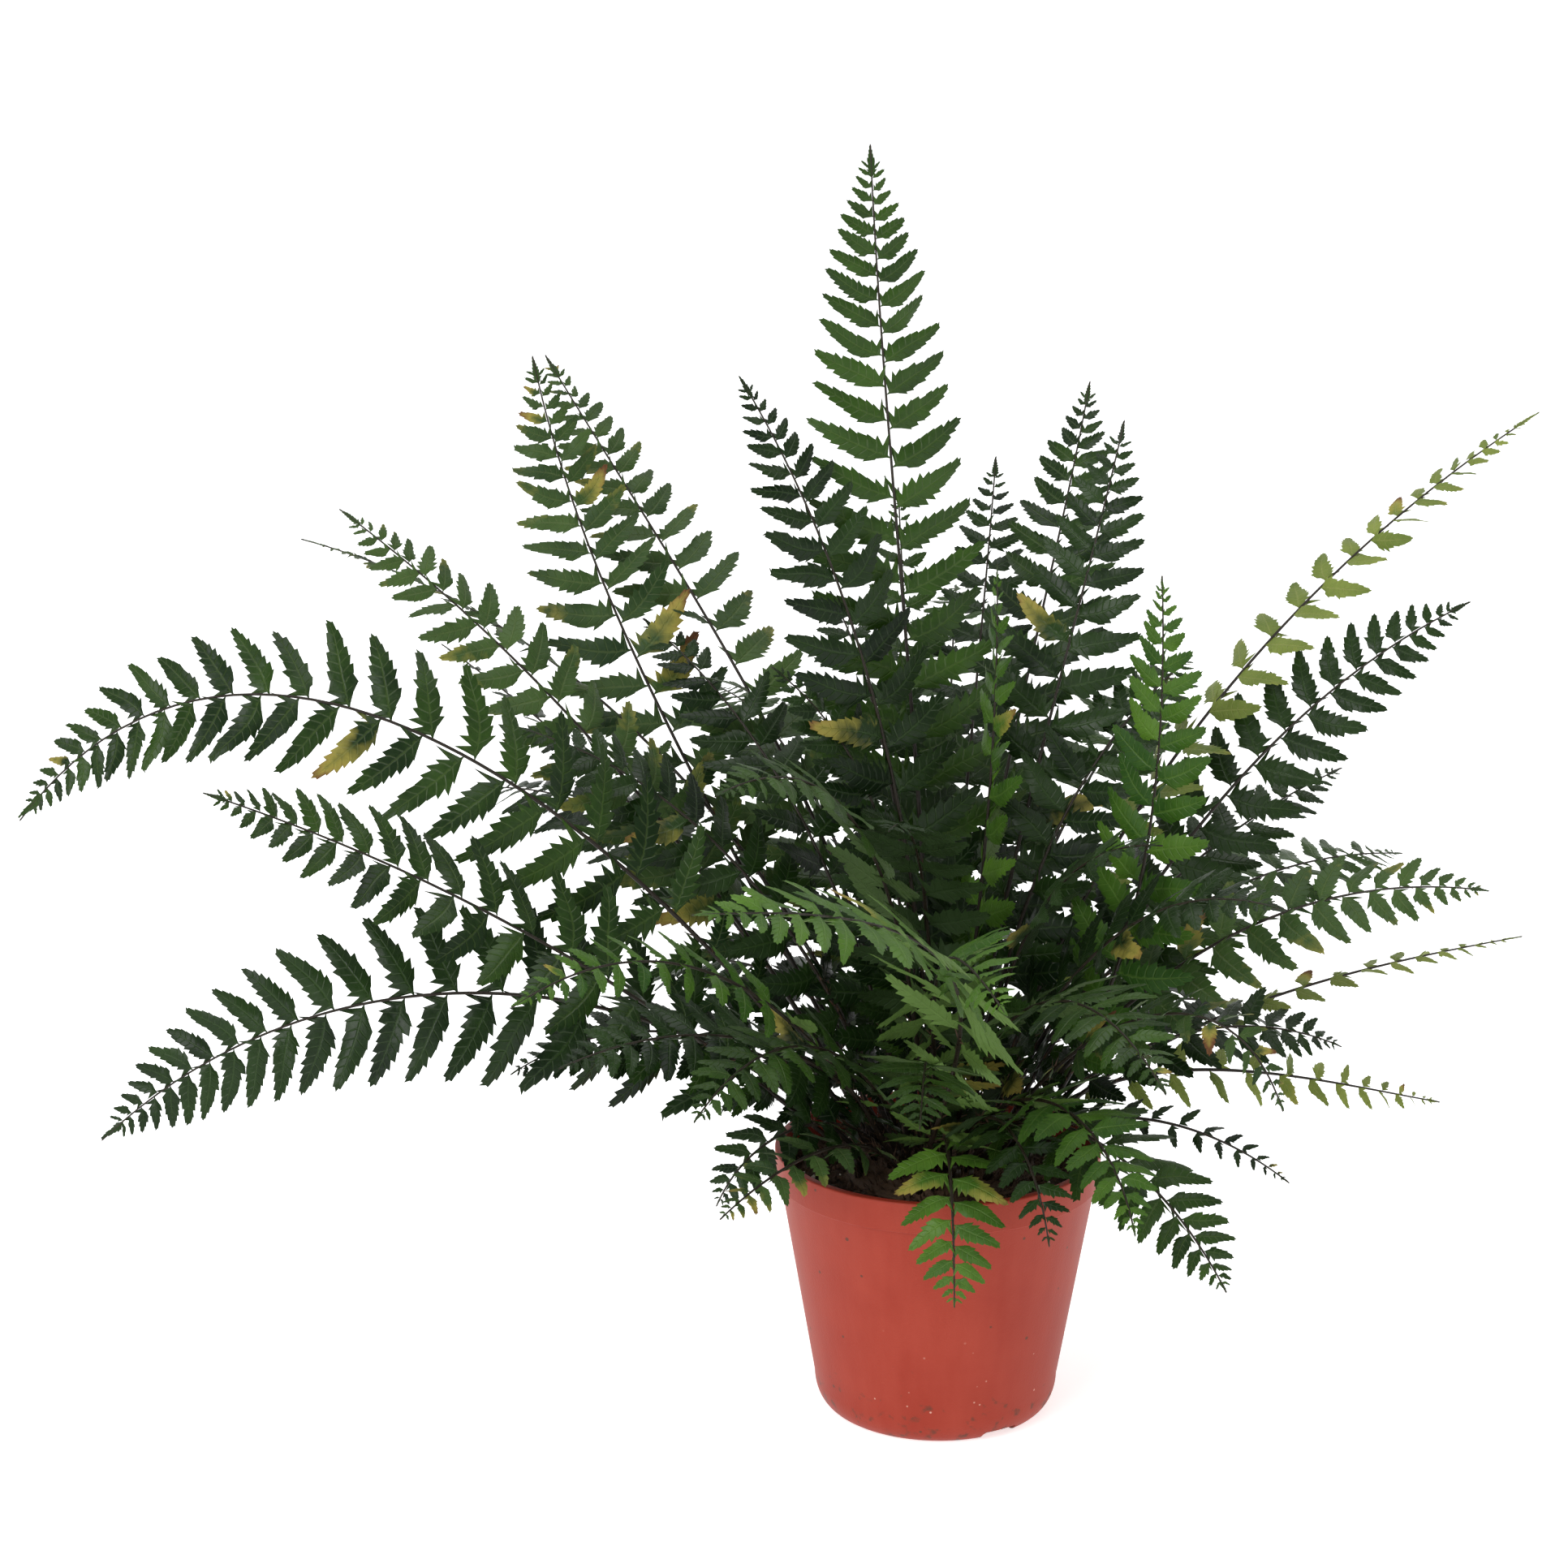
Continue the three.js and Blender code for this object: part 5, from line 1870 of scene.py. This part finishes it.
@dataclass
class Soil:
    """The plug of potting mix: a crumbly top with bark and perlite on it, inside the pot's wall.

    Attributes:
        pot: the pot that it fills.
        edge_drop: how much lower its edge lies than its middle.
        clearance: to the pot's wall.
        sides: steps round the plug.
        rows: steps from its edge to its middle.
        grain_count: bark chips, crumbs and perlite grains on it.
        perlite_share: the share of them that are perlite.
    """

    pot: Pot
    edge_drop: float = 1.5 * MM
    clearance: float = 0.45 * MM
    sides: int = 220
    rows: int = 56
    grain_count: int = 620
    perlite_share: float = 0.09

    def heights(self, points: Array, top: float, rim: float) -> Array:
        """The top's height: a shallow dome that falls as radius^2, with lumps and crumbs as waves.

        Args:
            points: places as x and y.
            top: the dome's height.
            rim: the radius at which it has sunk by the edge drop.
        Returns:
            One height for each place.
        """
        rng = np.random.default_rng(21)
        flat = np.concatenate([points, np.zeros_like(points[..., :1])], -1)
        sunk = self.edge_drop * (np.linalg.norm(points, axis=-1) / rim) ** 2
        lumps = waves(flat, 0.011, 40, rng) * 0.7 * MM
        return top - sunk + lumps + waves(flat, 0.0035, 60, rng) * 0.45 * MM

    def build(self, material: Material) -> None:
        """Makes the plug and strews its grains.

        Args:
            material: the potting mix.
        """
        low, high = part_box("soil")
        rim = self.pot.inside_radius((high.z - self.edge_drop) / MM) * MM - self.clearance
        foot_inner = self.pot.foot_radius - self.pot.foot_ring
        base = np.array([
            (0.0, low.z / MM),
            (foot_inner - 0.45, low.z / MM + 0.05),
            ((foot_inner + self.pot.base_radius) / 2.0 - 0.6, low.z / MM + 2.0),
            (self.pot.base_radius - self.pot.wall - 0.6, self.pot.foot_rounding + 0.6),
        ]) * MM
        shoulder = np.array([rim, high.z - 3.4 * MM])
        wall = np.linspace(base[-1], shoulder, 9)[1:]
        top = np.stack([np.linspace(rim - 0.3 * MM, 0.0, self.rows), np.full(self.rows, high.z)], -1)
        skin = turned(np.concatenate([base, wall, top]), self.sides)
        on_top = skin.corners[:, 2] > high.z - 0.1 * MM
        skin.corners[on_top, 2] = self.heights(skin.corners[on_top, :2], high.z, rim)
        piece = Piece("potting_mix")
        piece.add(skin, self.strewn(high.z, rim))
        piece.build([material], "potting_mix", "soil")

    def strewn(self, top: float, rim: float) -> Skin:
        """Bark chips, peat crumbs and perlite on the soil between the crown and the wall.

        Args:
            top: the soil's height.
            rim: its radius.
        Returns:
            The grains.
        """
        rng = np.random.default_rng(22)
        count = self.grain_count
        radii = np.sqrt(rng.uniform(0.60**2, 0.985**2, count)) * rim
        turns = rng.uniform(0.0, TURN, count)
        places = np.stack([radii * np.cos(turns), radii * np.sin(turns)], -1)
        perlite = rng.random(count) < self.perlite_share
        sizes = rng.uniform(0.5, 1.5, (count, 3)) * MM
        sizes[:, 0] *= np.where(perlite, 1.0, rng.uniform(1.0, 2.4, count))
        shrink = np.minimum(1.0, (rim - radii) / sizes.max(1))[:, None]
        sizes = sizes * np.maximum(shrink, 0.3)
        height = self.heights(places, top, rim) + 0.35 * sizes.min(1)
        tones = np.where(perlite, 1.0, rng.uniform(-0.4, 0.6, count))
        return grains(np.concatenate([places, height[:, None]], 1), sizes, tones, rng)


@dataclass
class Crown:
    """The short rhizome: a lumpy cushion, shaggy with scales, with the stumps of old stalks.

    Attributes:
        scale_count: papery scales on it.
        stump_count: stumps of old stalks.
        sides: steps round the cushion.
        rows: steps from its edge to its middle.
        scale_lengths: the shortest and the longest scale, in millimetres.
        stump_lengths: the shortest and the longest stump, in millimetres.
    """

    scale_count: int = 900
    stump_count: int = 34
    sides: int = 120
    rows: int = 40
    scale_lengths: tuple[float, float] = (2.5, 6.5)
    stump_lengths: tuple[float, float] = (5.0, 11.0)

    def heights(self, points: Array, low: float, high: float, radius: float) -> Array:
        """The cushion's height: it falls as radius^5 from its top to its edge, with lumps as waves.

        Args:
            points: places as x and y.
            low: the height of its foot.
            high: the height of its top.
            radius: its radius.
        Returns:
            One height for each place.
        """
        share = np.clip(np.linalg.norm(points, axis=-1) / radius, 0.0, 1.0)
        flat = np.concatenate([points, np.zeros_like(points[..., :1])], -1)
        lumps = waves(flat, 0.013, 40, np.random.default_rng(31)) * 0.8 * MM * (1.0 - share**6)
        return low + (high - low) * (1.0 - share**5) + lumps

    def build(self, scales: Material, stalk: Material) -> None:
        """Makes the cushion, its scales and its stumps.

        Args:
            scales: the scales' material.
            stalk: the stumps' material.
        """
        low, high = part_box("crown")
        radius = high.x
        rng = np.random.default_rng(32)
        root_height = low.z - 1.5 * MM
        outline = np.concatenate([
            [[0.0, root_height], [radius * 0.6, root_height]],
            np.stack([np.linspace(radius, 0.0, self.rows), np.full(self.rows, high.z)], -1),
        ])
        cushion = turned(outline, self.sides)
        on_top = cushion.corners[:, 2] > high.z - 0.1 * MM
        places = cushion.corners[on_top, :2]
        cushion.corners[on_top, 2] = self.heights(places, low.z - 0.4 * MM, high.z, radius)
        piece = Piece("crown_rhizome")
        piece.add(cushion)
        count = self.scale_count
        radii = np.sqrt(rng.random(count)) * radius
        away = level(rng.uniform(0.0, TURN, count))
        roots = away * radii[:, None]
        roots[:, 2] = self.heights(roots[:, :2], low.z, high.z, radius)
        leaning = away * rng.uniform(0.1, 1.0, (count, 1))
        growth = unit(leaning + UP * rng.uniform(0.3, 1.0, (count, 1)))
        normal = unit(np.cross(growth, np.cross(UP, growth)))
        lengths = rng.uniform(*self.scale_lengths, count) * MM
        piece.add(slivers(roots, growth, normal, lengths, 0.6 * MM))
        for _ in range(self.stump_count):
            piece.add(self._stump(rng, low.z, high.z, radius))
        piece.build([scales, stalk], "rhizome_scales", "crown")

    def _stump(self, rng: Draws, low: float, high: float, radius: float) -> Skin:
        """One cut-off old stalk: a short, leaning, tapering tube.

        Args:
            rng: the random draws.
            low: the height of the crown's foot.
            high: the height of its top.
            radius: the crown's radius.
        Returns:
            The stump.
        """
        away = level(rng.uniform(0.0, TURN))
        root = away * radius * math.sqrt(rng.uniform(0.1, 0.9))
        root[2] = self.heights(root[None, :2], low, high, radius)[0] - 1.0 * MM
        growth = unit(UP + away * rng.uniform(0.1, 0.7))
        left = unit(np.cross(UP, growth))
        front = np.cross(growth, left)
        angles = np.arange(8) * math.pi / 4.0
        steps = np.linspace(0.0, rng.uniform(*self.stump_lengths) * MM, 5)
        widths = 1.25 * MM * np.array([1.25, 1.0, 0.92, 0.9, 0.6])
        rings = root + steps[:, None, None] * growth + widths[:, None, None] * (
            np.cos(angles)[None, :, None] * left + np.sin(angles)[None, :, None] * front
        )
        return tube(rings, root, root + growth * steps[-1], finish=1)


# ---- studio ----


@dataclass(frozen=True)
class Softbox:
    """A square area light.

    Attributes:
        name: the light's name.
        place: where it stands.
        target: what it points at.
        size: the length of its sides.
        power: in watts.
        tint: its colour.
    """

    name: str
    place: tuple[float, float, float]
    target: tuple[float, float, float]
    size: float
    power: float
    tint: tuple[float, float, float] = (1.0, 1.0, 1.0)

    def build(self) -> None:
        """Makes the light and turns it to its target."""
        light = bpy.data.lights.new(self.name, "AREA")
        light.size, light.energy, light.color = self.size, self.power, self.tint
        lamp = shown(self.name, light)
        lamp.location = self.place
        lamp.rotation_euler = look_angles(self.place, self.target)


def look_angles(place: Iterable[float], target: Iterable[float]) -> tuple[float, float, float]:
    """The turns that point a lamp's -Z axis from a place at a target.

    Args:
        place: where the lamp is.
        target: what it points at.
    Returns:
        The turns about X, Y and Z, in radians.
    """
    x, y, z = unit(np.array(target, float) - np.array(place, float))
    return (math.acos(-z), 0.0, math.atan2(y, x) - math.pi / 2.0)


@dataclass
class Studio:
    """A pale floor, soft light from the front left, and the camera.

    Attributes:
        camera_height: degrees above the level that the camera looks down from.
        distance: from the camera to its target.
        target: what the camera looks at.
        lens: in millimetres.
        sensor: the sensor's width in millimetres.
        backdrop: how high the floor curves up far out, all round.
        floor_half: half the floor's side.
        floor_rows: rows of the floor's corners each way.
        level_share: the share of that half on which the floor is level.
        sky: the strength of the white light from all round.
        softboxes: the lights.
    """

    camera_height: float = 15.0
    distance: float = 1.3
    target: tuple[float, float, float] = (-0.0577, 0.0, 0.242)
    lens: float = 81.8
    sensor: float = 36.0
    backdrop: float = 11.0
    floor_half: float = 24.0
    floor_rows: int = 61
    level_share: float = 0.45
    sky: float = 0.42
    softboxes: tuple[Softbox, ...] = (
        Softbox("key", (-1.3, -1.7, 1.7), (-0.03, 0.0, 0.2), 1.4, 36.0),
        Softbox("fill", (1.6, -1.2, 0.9), (0.0, 0.0, 0.2), 1.6, 3.0),
        Softbox("top", (0.1, 0.5, 2.2), (0.0, 0.0, 0.2), 1.8, 20.0),
    )

    def build(self) -> None:
        """Sets up the floor, the sky, the lights and the camera."""
        bpy.context.scene.view_settings.view_transform = "Standard"
        self._floor()
        self._sky()
        for softbox in self.softboxes:
            softbox.build()
        self._camera()

    def _floor(self) -> None:
        """Lays the floor: level in the middle, then rising as 3t^2 - 2t^3 to the backdrop all round."""
        half, rows = self.floor_half, self.floor_rows
        across = np.linspace(-half, half, rows)
        x, y = (grid.ravel() for grid in np.meshgrid(across, across))
        z = self.backdrop * smoothstep(self.level_share * half, half, np.maximum(np.abs(x), np.abs(y)))
        index = np.arange(rows * rows).reshape(rows, rows)
        quads = np.stack([index[:-1, :-1], index[:-1, 1:], index[1:, 1:], index[1:, :-1]], -1)
        mesh = bpy.data.meshes.new("studio_floor")
        mesh.from_pydata(np.stack([x, y, z], -1).tolist(), [], quads.reshape(-1, 4).tolist())
        mesh.materials.append(FloorFinish().material("studio_floor"))
        shown("studio_floor", mesh)

    def _sky(self) -> None:
        """Sets the even white light from all round."""
        world = bpy.data.worlds.new("studio_sky")
        world.use_nodes = True
        background = world.node_tree.nodes["Background"]
        background.inputs["Color"].default_value = (1.0, 1.0, 1.0, 1.0)
        background.inputs["Strength"].default_value = self.sky
        bpy.context.scene.world = world

    def _camera(self) -> None:
        """Puts the camera in front of the target, at its height above the level."""
        lens = bpy.data.cameras.new("camera")
        lens.lens, lens.sensor_width = self.lens, self.sensor
        camera = shown("camera", lens)
        tilt = math.radians(self.camera_height)
        x, y, z = self.target
        camera.location = (x, y - self.distance * math.cos(tilt), z + self.distance * math.sin(tilt))
        camera.rotation_euler = (math.pi / 2.0 - tilt, 0.0, 0.0)
        bpy.context.scene.camera = camera


# ---- the whole ----


def main() -> None:
    """Builds the studio, the pot, the soil, the crown and every frond."""
    logging.basicConfig(level=logging.INFO, format="%(name)s: %(message)s")
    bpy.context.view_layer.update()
    Studio().build()
    pot = Pot()
    pot.build(PotFinish().material("moulded_plastic"))
    Soil(pot).build(SoilFinish().material("peat_mix"))
    stalk = StalkFinish().material("wiry_midrib")
    scales = ScaleFinish().material("papery_scales")
    Crown().build(scales, stalk)
    leaves = {tone: finish.material(tone.value) for tone, finish in LEAVES.items()}
    seat_height = (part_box("crown")[1].z + CROWN_GAP) / MM
    for number, row in enumerate(FROND_PLAN):
        name, right, back, rise, launch, finish, sway, roll, width, bare, tone = row
        tip = np.array([right, back, rise + seat_height], float) * MM
        frond = Frond(name, number, tip, launch, finish, sway * MM, roll, width * MM, bare, tone)
        frond.build(leaves, stalk, scales)


if __name__ == "__main__":
    main()
